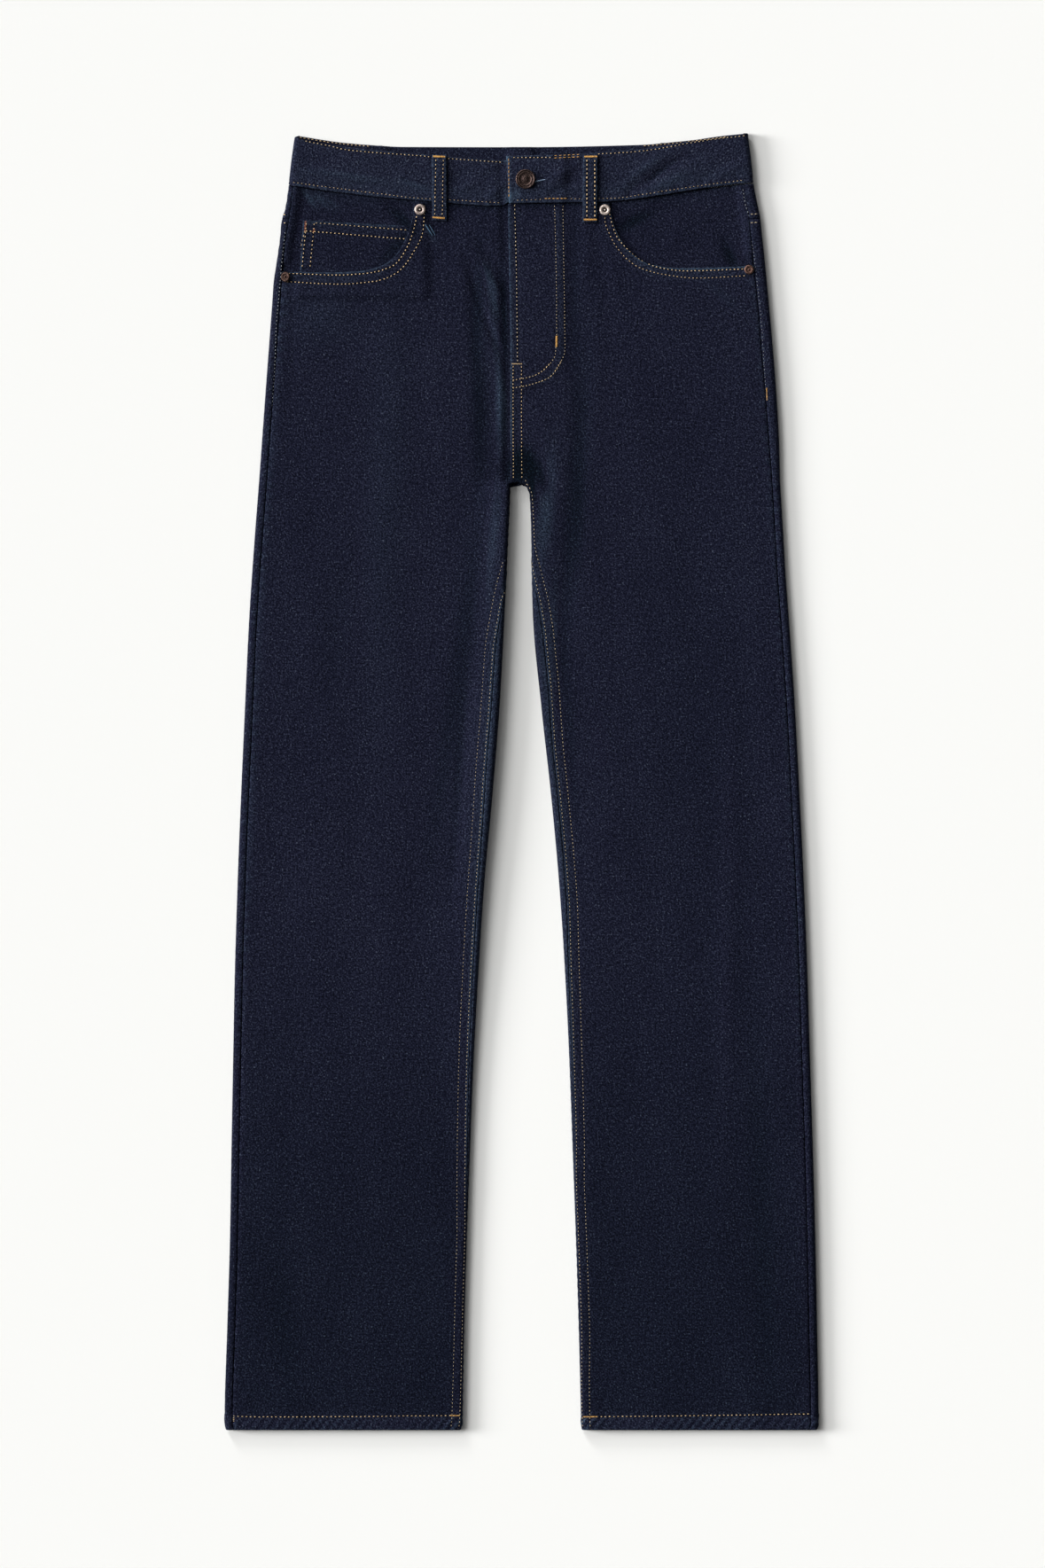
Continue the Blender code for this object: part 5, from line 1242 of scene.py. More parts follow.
# %% Belt loops
def strip(name, path, width, wall, seed, down=False):
    """A narrow flat tube: path gives rows of (x, y, z) of its outer face's middle."""
    path = resample(path, 40)
    share, depth = ring(width, wall, 9, 4)
    sign, middle = -1.0 if down else 1.0, wall / 2.0
    rows, shade_and_wear = [], []
    for number, (x, y, z) in enumerate(path):
        end = number in (0, len(path) - 1)
        wave = float(wobble(np.array(y), seed, 7.5))
        face = bell(depth, 0.4)
        edges = np.minimum(share, 1.0 - share) * width
        puff = 0.16 * (1.0 - (2.0 * share - 1.0) ** 2) * (1.0 + wave)
        bumps = 0.0 if down else face * (puff - 0.15 * bell(edges - 2.6, 0.8))
        drop = middle + (depth - middle) * (0.45 if end else 1.0) - bumps
        across = x + (share - 0.5) * width + 0.18 * wave
        rows.append(np.stack([across, np.full(share.shape, y), z - sign * drop], axis=1))
        shade_and_wear.append(face * ((0.6 + 0.3 * wave) * bell(edges, 1.3) + 0.16))
    points, wear_and_shade = np.stack(rows, axis=1), np.stack(shade_and_wear, axis=1)
    around = girth(share, depth, width)
    cloth_uv = np.stack([np.broadcast_to(around[:, None], wear_and_shade.shape), points[:, :, 1]], axis=2)
    return cloth_panel(name, points, cloth_uv, wear_and_shade, denim_small, flip=not down, wall=None, weld=True)


def front_loop(side, name, bottom, top):
    """A loop that climbs from the front over the waistband and bows off it."""
    at = LOOP_AT[side]
    low = float(front_band_bottom(side, at))
    path = []
    for y in np.linspace(bottom, top, 24):
        up = float(ease((y - (low - 7.0)) / 6.0))
        bow = 0.9 * math.sin(math.pi * min(1.0, max(0.0, (y - low) / (top - low))))
        z = mix(LEG_HEIGHT, BAND_HEIGHT, up) + GAP + LOOP_WALL + bow
        path.append((at - side * 0.4 * (top - y) / (top - bottom), y, z))
    return strip(name, path, FRONT_LOOP_WIDTH, 1.7, at)


def back_loop(name, at):
    """A loop flat on the ground, its outer face down."""
    top, low = float(back_top[0](at)), float(back_band_bottom(at)) - BACK_LOOP_BELOW
    return strip(name, [(at, low, 0.0), (at, top, 0.0)], LOOP_WIDTH, 1.5, at, down=True)


loops = [
    front_loop(RIGHT, "front_loop_right", 480.4, 537.2), front_loop(LEFT, "front_loop_left", 478.9, 537.1),
    back_loop("back_loop_right", -BACK_LOOP_AT), back_loop("back_loop_left", BACK_LOOP_AT),
    back_loop("back_loop_centre", 0.0),
]
for piece, solid in zip(loops, ("front_right", "front_left", "back_right", "back_left", "back_centre")):
    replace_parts(piece, "belt_loop_" + solid)
print("belt loops:", len(loops))

# %% [markdown]
# ## Rivets and button
#
# A rivet is a dished washer pressed over the cloth, with the tip of its nail standing in the middle. The
# button is a turned head on a shank, with plain rings. Both are spun profiles. Copper keeps its colour
# where it is rubbed and goes brown in its grooves, the button's bronze is blackened all over.

# %% Metal finishes
def metal(name, worn_code, dark_code, centre, ring_pitch, roughness, dark_share, well=0.0):
    """Plated metal whose grooves keep a dark patina, in rings about its own centre.

    Inside the radius well it is nearly black, but for the nail's rubbed tip."""
    made, tree, shader = new_finish(name, {"Metallic": 1.0, "Roughness": roughness})
    place = node(tree, "ShaderNodeTexCoord").outputs["Object"]
    moved = node(tree, "ShaderNodeVectorMath", {"operation": "SUBTRACT"},
                 {0: place, 1: [c * MM for c in centre]})
    flat = node(tree, "ShaderNodeVectorMath", {"operation": "MULTIPLY"},
                {0: moved.outputs[0], 1: (1.0, 1.0, 0.0)})
    far = node(tree, "ShaderNodeVectorMath", {"operation": "LENGTH"}, {0: flat.outputs[0]}).outputs["Value"]
    turns = node(tree, "ShaderNodeMath", {"operation": "MULTIPLY"},
                 {0: far, 1: 2.0 * math.pi / (ring_pitch * MM)})
    rings = node(tree, "ShaderNodeMath", {"operation": "SINE"}, {0: turns.outputs[0]})
    scratch = node(tree, "ShaderNodeTexNoise", {}, {
        "Vector": place, "Scale": 900.0, "Detail": 3.0, "Roughness": 0.7})
    mark = node(tree, "ShaderNodeMath", {"operation": "MULTIPLY_ADD"},
                {0: rings.outputs[0], 1: 0.10, 2: scratch.outputs["Fac"]})
    mark = node(tree, "ShaderNodeMath", {"operation": "SUBTRACT"}, {0: mark.outputs[0], 1: dark_share})
    stops = ((0.30, dark_code), (0.62, worn_code))
    colour = node(tree, "ShaderNodeValToRGB", {}, {0: mark.outputs[0]}, stops).outputs["Color"]
    if well:
        outside = node(tree, "ShaderNodeMapRange", {}, {
            "Value": far, "From Min": (well - 0.35) * MM, "From Max": well * MM})
        tip = node(tree, "ShaderNodeMapRange", {}, {
            "Value": far, "From Min": 0.9 * MM, "From Max": 0.5 * MM})
        shown = node(tree, "ShaderNodeMath", {"operation": "MAXIMUM"},
                     {0: outside.outputs[0], 1: tip.outputs[0]})
        colour = node(tree, "ShaderNodeMix", {"data_type": "RGBA"},
                      {0: shown.outputs[0], 6: hex_colour("#0a0808"), 7: colour}).outputs[2]
    bump = node(tree, "ShaderNodeBump", {}, {
        "Strength": 0.4, "Distance": 0.0001, "Height": mark.outputs[0]})
    tree.links.new(colour, shader.inputs["Base Color"])
    tree.links.new(bump.outputs[0], shader.inputs["Normal"])
    return made


def spun(name, profile, at, z, steps, finish, tilt=0.0):
    """Profile of (radius, height) points from the top of the axis down to its foot."""
    bm = bmesh.new()
    points = [bm.verts.new((r * MM, 0.0, h * MM)) for r, h in profile]
    edges = [bm.edges.new(pair) for pair in zip(points, points[1:])]
    bmesh.ops.spin(bm, geom=points + edges, cent=(0.0, 0.0, 0.0), axis=(0.0, 0.0, 1.0), dvec=(0.0, 0.0, 0.0),
                   angle=2.0 * math.pi, steps=steps, use_merge=True)
    bmesh.ops.remove_doubles(bm, verts=bm.verts, dist=0.000002)
    bmesh.ops.recalc_face_normals(bm, faces=bm.faces)
    turn, lean = math.sin(math.radians(tilt)), math.cos(math.radians(tilt))
    for vert in bm.verts:
        x, y, h = vert.co
        vert.co = Vector((x * lean - h * turn + at[0] * MM, y + at[1] * MM, h * lean + x * turn + z * MM))
    mesh = bpy.data.meshes.new(name)
    bm.to_mesh(mesh)
    bm.free()
    mesh.shade_smooth()
    return place_piece(mesh, finish)


print("a spun piece starts as the outline of its half section")

# %% Rivets and button
# The four rivets are one copper, but their colours are set one by one to how bright each shows, darkest for
# the right side rivet: painted light and shade.
# name, x and y, height of its foot, radius, tilt in degrees, worn and dark colours
RIVETS = (
    ("top_right", (-87.0, 490.0), LEG_HEIGHT + LAYER + 0.2, 4.8, 0.0, "#d9cac3", "#6b5850"),
    ("top_left", (71.4, 489.9), LEG_HEIGHT + 0.3, 4.8, 0.0, "#f2e6de", "#8a756a"),
    ("side_right", (-202.2, 432.4), LEG_HEIGHT + 1.3, 4.6, 30.0, "#42332e", "#0d0908"),
    ("side_left", (194.9, 438.7), LEG_HEIGHT + 0.3, 4.2, 0.0, "#7d6057", "#2c1f1b"),
)
# Shares of the radius and heights: the nail's tip, the well round it, the dished washer and its rim.
WASHER = (
    (0.0, 1.55), (0.10, 1.52), (0.19, 1.38), (0.23, 1.05), (0.25, 0.62), (0.34, 0.55), (0.43, 0.62),
    (0.50, 0.95), (0.57, 1.14), (0.66, 1.20), (0.72, 1.14), (0.78, 1.17), (0.86, 1.05), (0.94, 0.80),
    (1.0, 0.40), (0.98, 0.08), (0.90, 0.0), (0.0, 0.0),
)
# The same for the button: a low dome, two rings, a raised rim, the underside and the shank.
BUTTON_HEAD = (
    (0.0, 2.85), (0.14, 2.88), (0.27, 2.80), (0.33, 2.45), (0.38, 2.35), (0.50, 2.42), (0.56, 2.38),
    (0.60, 2.62), (0.66, 2.80), (0.74, 2.82), (0.79, 2.62), (0.82, 2.78), (0.87, 3.20), (0.92, 3.32),
    (0.97, 3.15), (1.0, 2.6), (0.97, 1.7), (0.86, 1.25), (0.40, 1.05), (0.34, 0.9), (0.33, 0.0),
    (0.0, 0.0),
)
BUTTON_RADIUS = 8.4
for word, at, z, radius, tilt, worn_code, dark_code in RIVETS:
    profile = [(share * radius, height) for share, height in WASHER]
    copper = metal("antique copper plate, " + word.replace("_", " "), worn_code, dark_code, at + (0.0,),
                   1.1, 0.55, 0.02, 0.42 * radius if word.startswith("top") else 0.0)
    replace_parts(spun("rivet_washer_" + word, profile, at, z, 28, copper, tilt), "rivet_" + word)

bronze = metal("blackened bronze button", "#604f4a", "#1b1617", BUTTON_AT + (0.0,), 1.5, 0.46, 0.06)
profile = [(share * BUTTON_RADIUS, height) for share, height in BUTTON_HEAD]
button = spun("button_head", profile, BUTTON_AT, BAND_HEIGHT + 1.6 + 0.3, 48, bronze)
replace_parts(button, "button")
print("rivets:", len(RIVETS), "and one button of", 2.0 * BUTTON_RADIUS, "mm")

# %% [markdown]
# ## Sewing
#
# Jeans are sewn with heavy thread, about ten stitches to an inch, and each stitch stands proud of the
# cloth and sinks at its ends. Every stitch is the same small capsule, turned to its row, set down on the
# cloth by a ray and a little uneven in place, width and shade. A bar tack is a row of short threads
# packed side by side where a seam takes the most strain.

# %% Threads
THREADS = {
    "gold": ("tan-gold core-spun topstitch thread", "#d2b588"),
    "tan": ("greyed tan core-spun thread, faded", "#b5a487"),
    "white": ("pale grey thread, washed out", "#a9adb0"),
    "orange": ("orange-gold bar-tack thread", "#cc9a50"),
    "rust": ("rust-brown bar-tack thread", "#9a5b40"),
    "blue": ("light blue buttonhole thread", "#7f93ac"),
    "pale_stroke": ("pale stroke along a sharp crease", "#47637c"),
}


def thread_material(name, code):
    """Twisted polyester thread: a fine diagonal twist across each stitch, a little sheen."""
    made, tree, shader = new_finish(name, {"Roughness": 0.7, "Specular IOR Level": 0.3})
    shade = node(tree, "ShaderNodeAttribute", {"attribute_name": "thread_shade"}).outputs["Fac"]
    base = hex_colour(code)[:3]
    mixed = node(tree, "ShaderNodeMix", {"data_type": "RGBA", "blend_type": "MIX"}, {
        0: shade, 6: tuple(0.55 * c for c in base) + (1.0,),
        7: tuple(min(1.0, 1.25 * c) for c in base) + (1.0,)})
    place = node(tree, "ShaderNodeTexCoord").outputs["Object"]
    turned = node(tree, "ShaderNodeMapping", {}, {"Rotation": (0.0, 0.0, 0.6), 0: place})
    twist = node(tree, "ShaderNodeTexWave", {}, {
        "Scale": 1400.0, "Distortion": 1.0, "Vector": turned.outputs[0]})
    bump = node(tree, "ShaderNodeBump", {}, {
        "Strength": 0.3, "Distance": 0.0001, "Height": twist.outputs["Fac"]})
    tree.links.new(mixed.outputs[2], shader.inputs["Base Color"])
    tree.links.new(bump.outputs[0], shader.inputs["Normal"])
    return made


def hole_shade_material():
    """Near black, painted shade for the inside of a needle's hole."""
    made, tree, shader = new_finish("needle hole, thread in shade", {
        "Roughness": 0.9, "Specular IOR Level": 0.0})
    place = node(tree, "ShaderNodeTexCoord").outputs["Object"]
    speckle = node(tree, "ShaderNodeTexNoise", {}, {"Scale": 2000.0, "Vector": place})
    stops = ((0.3, "#02030a"), (0.7, "#080a14"))
    shades = node(tree, "ShaderNodeValToRGB", {}, {0: speckle.outputs["Fac"]}, stops)
    tree.links.new(shades.outputs["Color"], shader.inputs["Base Color"])
    return made


print("threads:", ", ".join(sorted(THREADS)))

# %% The stitch, the row and the bar tack
# The way to the needle, and the height that a row is drawn at, for rows on the front and on the back.
FROM_ABOVE, FROM_BELOW = ((0.0, 0.0, 1.0), 6.0), ((0.0, 0.0, -1.0), -3.0)
RAY_START = 9.0  # further out, where each ray starts
stitches = {}
needle_hole_shades = []
rng = np.random.default_rng(7)


def touch(start, direction, names):
    """Where a ray first meets one of the named pieces, with that face's normal."""
    best = None
    for name in names:
        hit, normal, _, distance = shells[name].ray_cast(Vector(start) * MM, Vector(direction))
        if hit is not None and (best is None or distance < best[2]):
            best = (np.array(hit) / MM, np.array(normal), distance)
    return best


def stitch(kind, a, b, names, half, up=FROM_ABOVE[0]):
    """One stitch from a to b, dropped on the named pieces against the direction up."""
    up = np.array(up, float)
    ends = [touch(np.array(p, float) + RAY_START * up, -up, names) for p in (a, b)]
    if ends[0] is None or ends[1] is None or abs(ends[0][2] - ends[1][2]) > 2.0 * MM:
        return
    first, second = ends[0][0], ends[1][0]
    normal = ends[0][1] + ends[1][1]
    normal = normal / np.linalg.norm(normal)
    if normal @ up < 0.0:
        normal = -normal
    stitches.setdefault(kind, []).append((first, second, normal, half))


def needle_hole_shade(point, names, up, radius):
    """A dark cap of painted shade where the thread dives into the cloth, between two stitches."""
    up = np.array(up, float)
    found = touch(np.array(point, float) + RAY_START * up, -up, names)
    if found is not None:
        needle_hole_shades.append((found[0], found[1] * (1.0 if found[1] @ up > 0.0 else -1.0), radius))


def sew(kind, points, names, pitch=3.3, dash=1.45, half=0.38, below=False, smooth=True):
    """A row of stitches along a line seen from above, or from below."""
    line = smoothed(points) if smooth and len(points) > 2 else np.array(points, float)
    runs = distances(line)
    count = max(1, int(runs[-1] / pitch))
    starts = (np.arange(count) + 0.5) * runs[-1] / count - dash / 2.0
    starts = starts + rng.uniform(-0.14, 0.14, count)
    side = rng.uniform(-0.10, 0.10, (count, 2))
    up, base = FROM_BELOW if below else FROM_ABOVE

    def place(s):
        """x and y at the length s along the row."""
        return [float(np.interp(s, runs, column)) for column in line.T]

    for at, (aside, ahead) in zip(starts, side):
        a, b = [(x + aside, y + ahead, base) for x, y in (place(at), place(at + dash))]
        stitch(kind, a, b, names, half * rng.uniform(0.85, 1.15), up)
        # Between stitches a dark cap of painted shade marks the needle's hole.
        if pitch - dash > 0.8 and not below:
            needle_hole_shade(place(at + dash + (pitch - dash) / 2.0) + [base], names, up, 2.0 * half)


def sew_fold(kind, side, table, names, half, pitch=3.2, dash=1.4):
    """A row round an inner fold: table gives (y, place round the fold)."""
    leg = legs[side]
    read = columns_of(table)[0]
    ys = np.arange(min(row[0] for row in table), max(row[0] for row in table), pitch)
    for y in ys:
        ends = []
        y = y + rng.uniform(-0.12, 0.12)
        for at in (y, y + dash, y + (dash + pitch) / 2.0):
            s = float(read(at)) + rng.uniform(-0.06, 0.06)
            away, up = (float(v) for v in arc_normal(np.array(s)))
            x = side * (float(leg.inner(at)) + float(arc_inside(np.array(s))))
            ends.append(np.array([x, at, float(arc_height(np.array(s)))]))
            normal = (-side * away, 0.0, up)
        if s > 0.2:
            stitch(kind, ends[0], ends[1], names, half * rng.uniform(0.85, 1.15), normal)
            # Between stitches a dark cap of painted shade marks the needle's hole.
            needle_hole_shade(ends[2], names, normal, 2.0 * half)


def tack(kind, a, b, names, half_length, pitch=0.52, below=False):
    """A bar tack from a to b, its threads lying across."""
    a, b = np.array(a, float), np.array(b, float)
    along = (b - a) / np.linalg.norm(b - a)
    across = np.array([-along[1], along[0]])
    up, base = FROM_BELOW if below else FROM_ABOVE
    for s in np.arange(0.0, np.linalg.norm(b - a), pitch):
        centre = a + along * s
        reach = half_length * rng.uniform(0.9, 1.12)
        p, q = centre - across * reach + along * 0.15, centre + across * reach - along * 0.15
        stitch(kind, (p[0], p[1], base), (q[0], q[1], base), names, 0.30, up)


print("each stitch drops on the cloth from", FROM_ABOVE[1] + RAY_START, "mm above the floor")

# %% [markdown]
# ## Where the rows run
#
# The rows follow the pattern of five-pocket jeans: two beside each pocket opening and round the fly,
# two on each inseam, single rows on the outseams of the hip, the hems and the waistband's edges, and
# tacks at the ends of loops, pockets and the fly.

# %% Rows on the front
FRONT_R, FRONT_L = "front_panel_right", "front_panel_left"
BAND, COIN = "waistband_cloth", "coin_pocket_cloth"
OPENING_ROWS = (
    (FRONT_R, 0.44, (
        (-89.8, 485.3), (-90.8, 479.2), (-96.9, 460.2), (-110.6, 441.6), (-132.6, 435.4), (-156.9, 433.9),
        (-200.6, 435.4))),
    (FRONT_R, 0.43, (
        (-83.5, 498.0), (-83.5, 485.3), (-84.3, 472.6), (-93.9, 451.1), (-107.5, 435.4), (-126.5, 428.4),
        (-156.9, 426.1), (-202.2, 428.4))),
    (FRONT_L, 0.39, (
        (75.2, 487.5), (77.2, 479.5), (81.0, 468.5), (87.0, 460.2), (100.7, 447.8), (118.0, 440.4),
        (141.0, 437.6), (190.8, 439.2))),
    (FRONT_L, 0.28, (
        (70.8, 498.0), (71.4, 481.9), (77.6, 464.7), (87.0, 451.1), (102.2, 440.0), (125.8, 433.9),
        (149.0, 431.5), (192.4, 433.4))),
)
for name, half, row in OPENING_ROWS:
    sew("gold", row, (name,), half=half)
# The fly: its edge, the two lines of the J and the centre seam below it.
sew("tan", ((-5.9, 495.1), (-4.3, 430.0), (-3.4, 359.1)), (FRONT_L,), 3.4, 1.4, 0.43)
J_INNER = (
    (28.3, 497.0), (29.9, 420.7), (30.1, 387.2), (29.0, 366.2), (24.7, 358.3), (13.3, 348.8),
    (1.6, 345.4), (-8.4, 343.9),
)
J_OUTER = (
    (35.3, 497.0), (36.9, 398.6), (37.1, 369.7), (34.2, 360.6), (24.7, 346.9), (13.3, 341.8),
    (1.6, 338.6), (-8.4, 337.1),
)
for row, half in ((J_INNER, 0.27), (J_OUTER, 0.30)):
    sew("tan", row, (FRONT_L,), 2.8, 1.2, half)
# Round the bend the two lines are sewn a second time.
for row, start in ((J_INNER, 4), (J_OUTER, 3)):
    sew("gold", row[start:], (FRONT_L,), 2.8, 1.3, 0.30)
for x, pitch in ((-7.2, 2.9), (0.0, 3.15)):
    sew("gold", ((x, 356.8), (x, 310.0), (x + 0.3, 259.5)), (FRONT_R, FRONT_L), pitch, 1.35, 0.34,
        smooth=False)
tack("orange", (30.1, 381.6), (30.0, 372.4), (FRONT_L,), 0.95)
tack("gold", (-8.0, 357.9), (0.6, 357.9), (FRONT_L,), 0.5, 0.9)
# The coin pocket: its hem, its sides and two tacks.
sew("gold", ((-177.5, 478.9), (-97.7, 472.6)), (COIN,), 3.6, 1.5, 0.33, smooth=False)
sew("gold", ((-185.8, 471.9), (-99.2, 464.9)), (COIN,), 3.45, 1.5, 0.43, smooth=False)
POCKET_R = "pocket_facing_inside_right"
sew("gold", ((-184.4, 479.5), (-188.0, 440.2)), (COIN, FRONT_R), smooth=False)
sew("gold", ((-185.6, 473.0), (-189.2, 458.0)), (COIN, POCKET_R), smooth=False, half=0.3)
sew("gold", ((-177.5, 479.2), (-181.3, 440.2)), (COIN,), smooth=False)
tack("rust", (-184.9, 480.0), (-185.4, 471.8), (COIN,), 0.95, 1.15)
tack("rust", (-177.6, 473.4), (-178.2, 470.8), (COIN,), 0.9, 1.15)
# The hems.
HEM_RIGHT = ((-251.9, -543.4), (-229.9, -544.5), (-143.3, -544.2), (-68.8, -543.4), (-52.3, -543.4))
HEM_LEFT = ((52.3, -544.5), (155.4, -543.3), (251.0, -541.9))
for row, name in ((HEM_RIGHT, FRONT_R), (HEM_LEFT, FRONT_L)):
    sew("gold", row, (name,), 3.6, 1.7, 0.33)
tack("orange", (-60.5, -543.4), (-52.6, -543.4), (FRONT_R,), 0.6, 0.9)
tack("orange", (52.9, -544.4), (64.6, -544.3), (FRONT_L,), 0.6, 0.9)
# A few threads of the outseams' overlocking show below the hem rows.
tack("gold", (-246.6, -545.4), (-246.8, -549.4), (FRONT_R,), 0.7, 1.3)
tack("gold", (248.4, -544.8), (248.6, -548.8), (FRONT_L,), 0.7, 1.3)
print("rows on the fronts and pockets:", sum(len(v) for v in stitches.values()))

# %% Rows on the seams, waistband and loops
# Each inseam has a row 2 mm above it and one a presser foot's width from that, up to the height end.
INSEAM_LIFT, FOOT_WIDTH = 2.0, 6.8
INSEAM_ROWS = (
    (RIGHT, RIGHT_INSEAM, FRONT_R, 200.0, 0.20), (LEFT, LEFT_INSEAM, FRONT_L, 260.0, 0.25),
)
for side, table, name, end, outer_half in INSEAM_ROWS:
    near = [(y, s + INSEAM_LIFT) for y, s in table if y < end]
    sew_fold("tan", side, near, (name,), half=0.26)
    sew_fold("tan", side, [(y, s + FOOT_WIDTH) for y, s in near], (name,), half=outer_half)
BACK_R, BACK_L = "back_panel_right", "back_panel_left"
OUTSEAM_ROWS = (
    (("yoke_right", BACK_R, FRONT_R), 0.24, (
        (-202.5, 471.6), (-205.7, 442.7), (-207.6, 419.4), (-210.1, 392.5), (-211.5, 356.8),
        (-213.9, 321.1))),
    (("yoke_left", BACK_L, FRONT_L), 0.12, (
        (197.1, 464.3), (200.3, 442.7), (202.8, 419.4), (205.6, 392.5), (207.3, 365.9), (209.2, 338.6))),
    (("yoke_left", "pocket_facing_inside_left"), 0.22, (
        (189.6, 508.5), (191.2, 497.5), (194.6, 485.0), (196.6, 474.0))),
)
for names, half, row in OUTSEAM_ROWS:
    sew("white", row, names, 3.1, 1.2, half)
tack("orange", (210.1, 337.0), (210.4, 326.4), (BACK_L, FRONT_L), 0.6, 0.9)
for y in (485.8, 478.6):
    sew("gold", ((-206.0, y), (-200.3, y)), ("yoke_right", BACK_R), smooth=False)
    ends = ((196.0, y + 0.3), (205.6, y + 0.8))
    sew("tan", ends, ("yoke_left", BACK_L, FRONT_L), 3.0, 2.5, 0.3, smooth=False)
UPPER, LOWER = 0.35, 0.21  # half widths of the waistband's two rows
BAND_ROWS = (
    (UPPER, ((-186.3, 548.9), (-160.0, 543.6), (-152.0, 541.6), (-122.0, 538.6), (-97.7, 537.0),
             (-62.8, 533.9), (-16.3, 530.6))),
    (LOWER, ((-196.8, 513.5), (-160.0, 508.5), (-123.0, 503.9), (-93.0, 500.2), (-60.0, 498.3),
             (-18.0, 495.9))),
    (UPPER, ((-8.0, 534.5), (26.0, 534.6))),
    (UPPER, ((64.5, 537.7), (92.0, 539.2), (115.0, 541.8), (143.0, 546.9), (170.0, 551.0), (192.0, 553.4))),
    (LOWER, ((-5.0, 497.8), (18.0, 498.8))),
    (LOWER, ((41.0, 499.3), (80.0, 499.9), (100.0, 502.5), (135.0, 507.9), (165.0, 512.2), (190.0, 515.2))),
)
for half, row in BAND_ROWS:
    sew("gold", row, (BAND,), 3.4, 1.3, half)
# Along the end, and where two bobbins overlap, the thread is newer and lies closer.
NEWER_ROWS = (
    (3.3, 2.7, 0.22, ((-11.0, 534.2), (-10.8, 500.3))), (3.4, 2.6, 0.34, ((27.5, 534.1), (50.5, 535.3))),
    (3.4, 2.4, 0.26, ((27.5, 536.1), (50.5, 537.4))), (3.4, 2.6, 0.34, ((19.2, 499.5), (39.7, 499.5))),
)
for pitch, dash, half, row in NEWER_ROWS:
    sew("orange", row, (BAND,), pitch, dash, half)
LOOP_R, LOOP_L = "front_loop_right", "front_loop_left"
# name, x of its two rows, their top, how far they lean, their foot, a stitch's length and half width
LOOP_ROWS = (
    (LOOP_R, (-73.4, -67.0), 533.6, -0.9, 484.6, 1.45, 0.32),
    (LOOP_L, (56.1, 62.8), 533.5, 0.0, 483.1, 1.9, 0.48),
)
for name, places, top, lean, foot, dash, half in LOOP_ROWS:
    for at in places:
        sew("gold", ((at, top), (at + lean, foot)), (name,), 3.4, dash, half, smooth=False)
tack("orange", (-75.6, 535.5), (-65.4, 535.2), (LOOP_R, BAND), 0.85, 0.62)
tack("orange", (-76.6, 483.4), (-65.6, 482.6), (LOOP_R,), 0.85, 0.62)
tack("orange", (54.0, 535.3), (64.6, 535.4), (LOOP_L, BAND), 0.85, 0.62)
tack("orange", (53.6, 481.4), (64.4, 481.4), (LOOP_L,), 0.85, 0.62)
stitch("white", (-64.6, 533.2, 9.0), (-61.6, 530.6, 9.0), (LOOP_R, BAND), 0.24)
# Two pale strokes are laid along sharp creases below the right rivet.
stitch("pale_stroke", (-83.0, 478.0, 9.0), (-75.8, 467.2, 9.0), (FRONT_R,), 0.5)
stitch("pale_stroke", (-79.4, 477.4, 9.0), (-73.6, 467.6, 9.0), (FRONT_R,), 0.4)
# The buttonhole's end past the button.
tack("blue", (11.6, 513.8), (20.4, 515.8), (BAND,), 0.5, 0.42)
print("rows with seams and waistband:", sum(len(v) for v in stitches.values()))

# %% Rows on the back, seen from below
for side, back, word in ((RIGHT, BACK_R, "right"), (LEFT, BACK_L, "left")):
    patch_name = "back_pocket_patch_" + word
    for drop in (2.0, 8.6):
        seam = [(side * x, float(yoke_seam(side, side * x)) - drop) for x in (4.0, 60.0, 120.0, 196.0)]
        sew("gold", seam, (back,), below=True)
    for inset in (2.2, 8.0):
        corner, low = POCKET_INSIDE + 4.0 + inset, POCKET_TOP - POCKET_SIDE + inset
        outline = (
            (POCKET_INSIDE + inset, POCKET_TOP - 3.0), (corner, low),
            (POCKET_INSIDE + POCKET_WIDTH / 2.0, POCKET_TOP - POCKET_POINT + inset * 1.1),
            (corner + (POCKET_WIDTH - 8.0 - 2.0 * inset), low),
            (POCKET_INSIDE + POCKET_WIDTH - inset, POCKET_TOP - 3.0),
        )
        outline = [(side * x, y) for x, y in outline]
        for ends in zip(outline, outline[1:]):
            sew("gold", ends, (patch_name,), below=True, smooth=False)
    for drop in (2.2, 11.0):
        ends = [(side * (POCKET_INSIDE + 3.0), POCKET_TOP - drop),
                (side * (POCKET_INSIDE + POCKET_WIDTH - 3.0), POCKET_TOP - drop)]
        sew("gold", ends, (patch_name,), below=True, smooth=False)
    hem = [(side * 60.0, -544.0), (side * 246.0, -544.0)]
    sew("gold", hem, (back,), below=True, smooth=False)
for x in (2.2, 8.8):
    sew("gold", ((x, 440.0), (x, 350.0), (x, 268.0)), (BACK_L,), below=True, smooth=False)
across_back = np.linspace(-188.0, 188.0, 15)
sew("gold", [(x, float(back_top[0](x)) - 2.2) for x in across_back], (BAND,), below=True)
sew("gold", [(x, float(back_band_bottom(x)) + 2.2) for x in across_back], (BAND,), below=True)
for at, word in ((-BACK_LOOP_AT, "right"), (0.0, "centre"), (BACK_LOOP_AT, "left")):
    top, low = float(back_top[0](at)), float(back_band_bottom(at)) - BACK_LOOP_BELOW
    for y in (top - 2.0, low + 2.0):
        tack("orange", (at - 5.0, y), (at + 5.0, y), ("back_loop_" + word,), 1.0, 0.5, below=True)
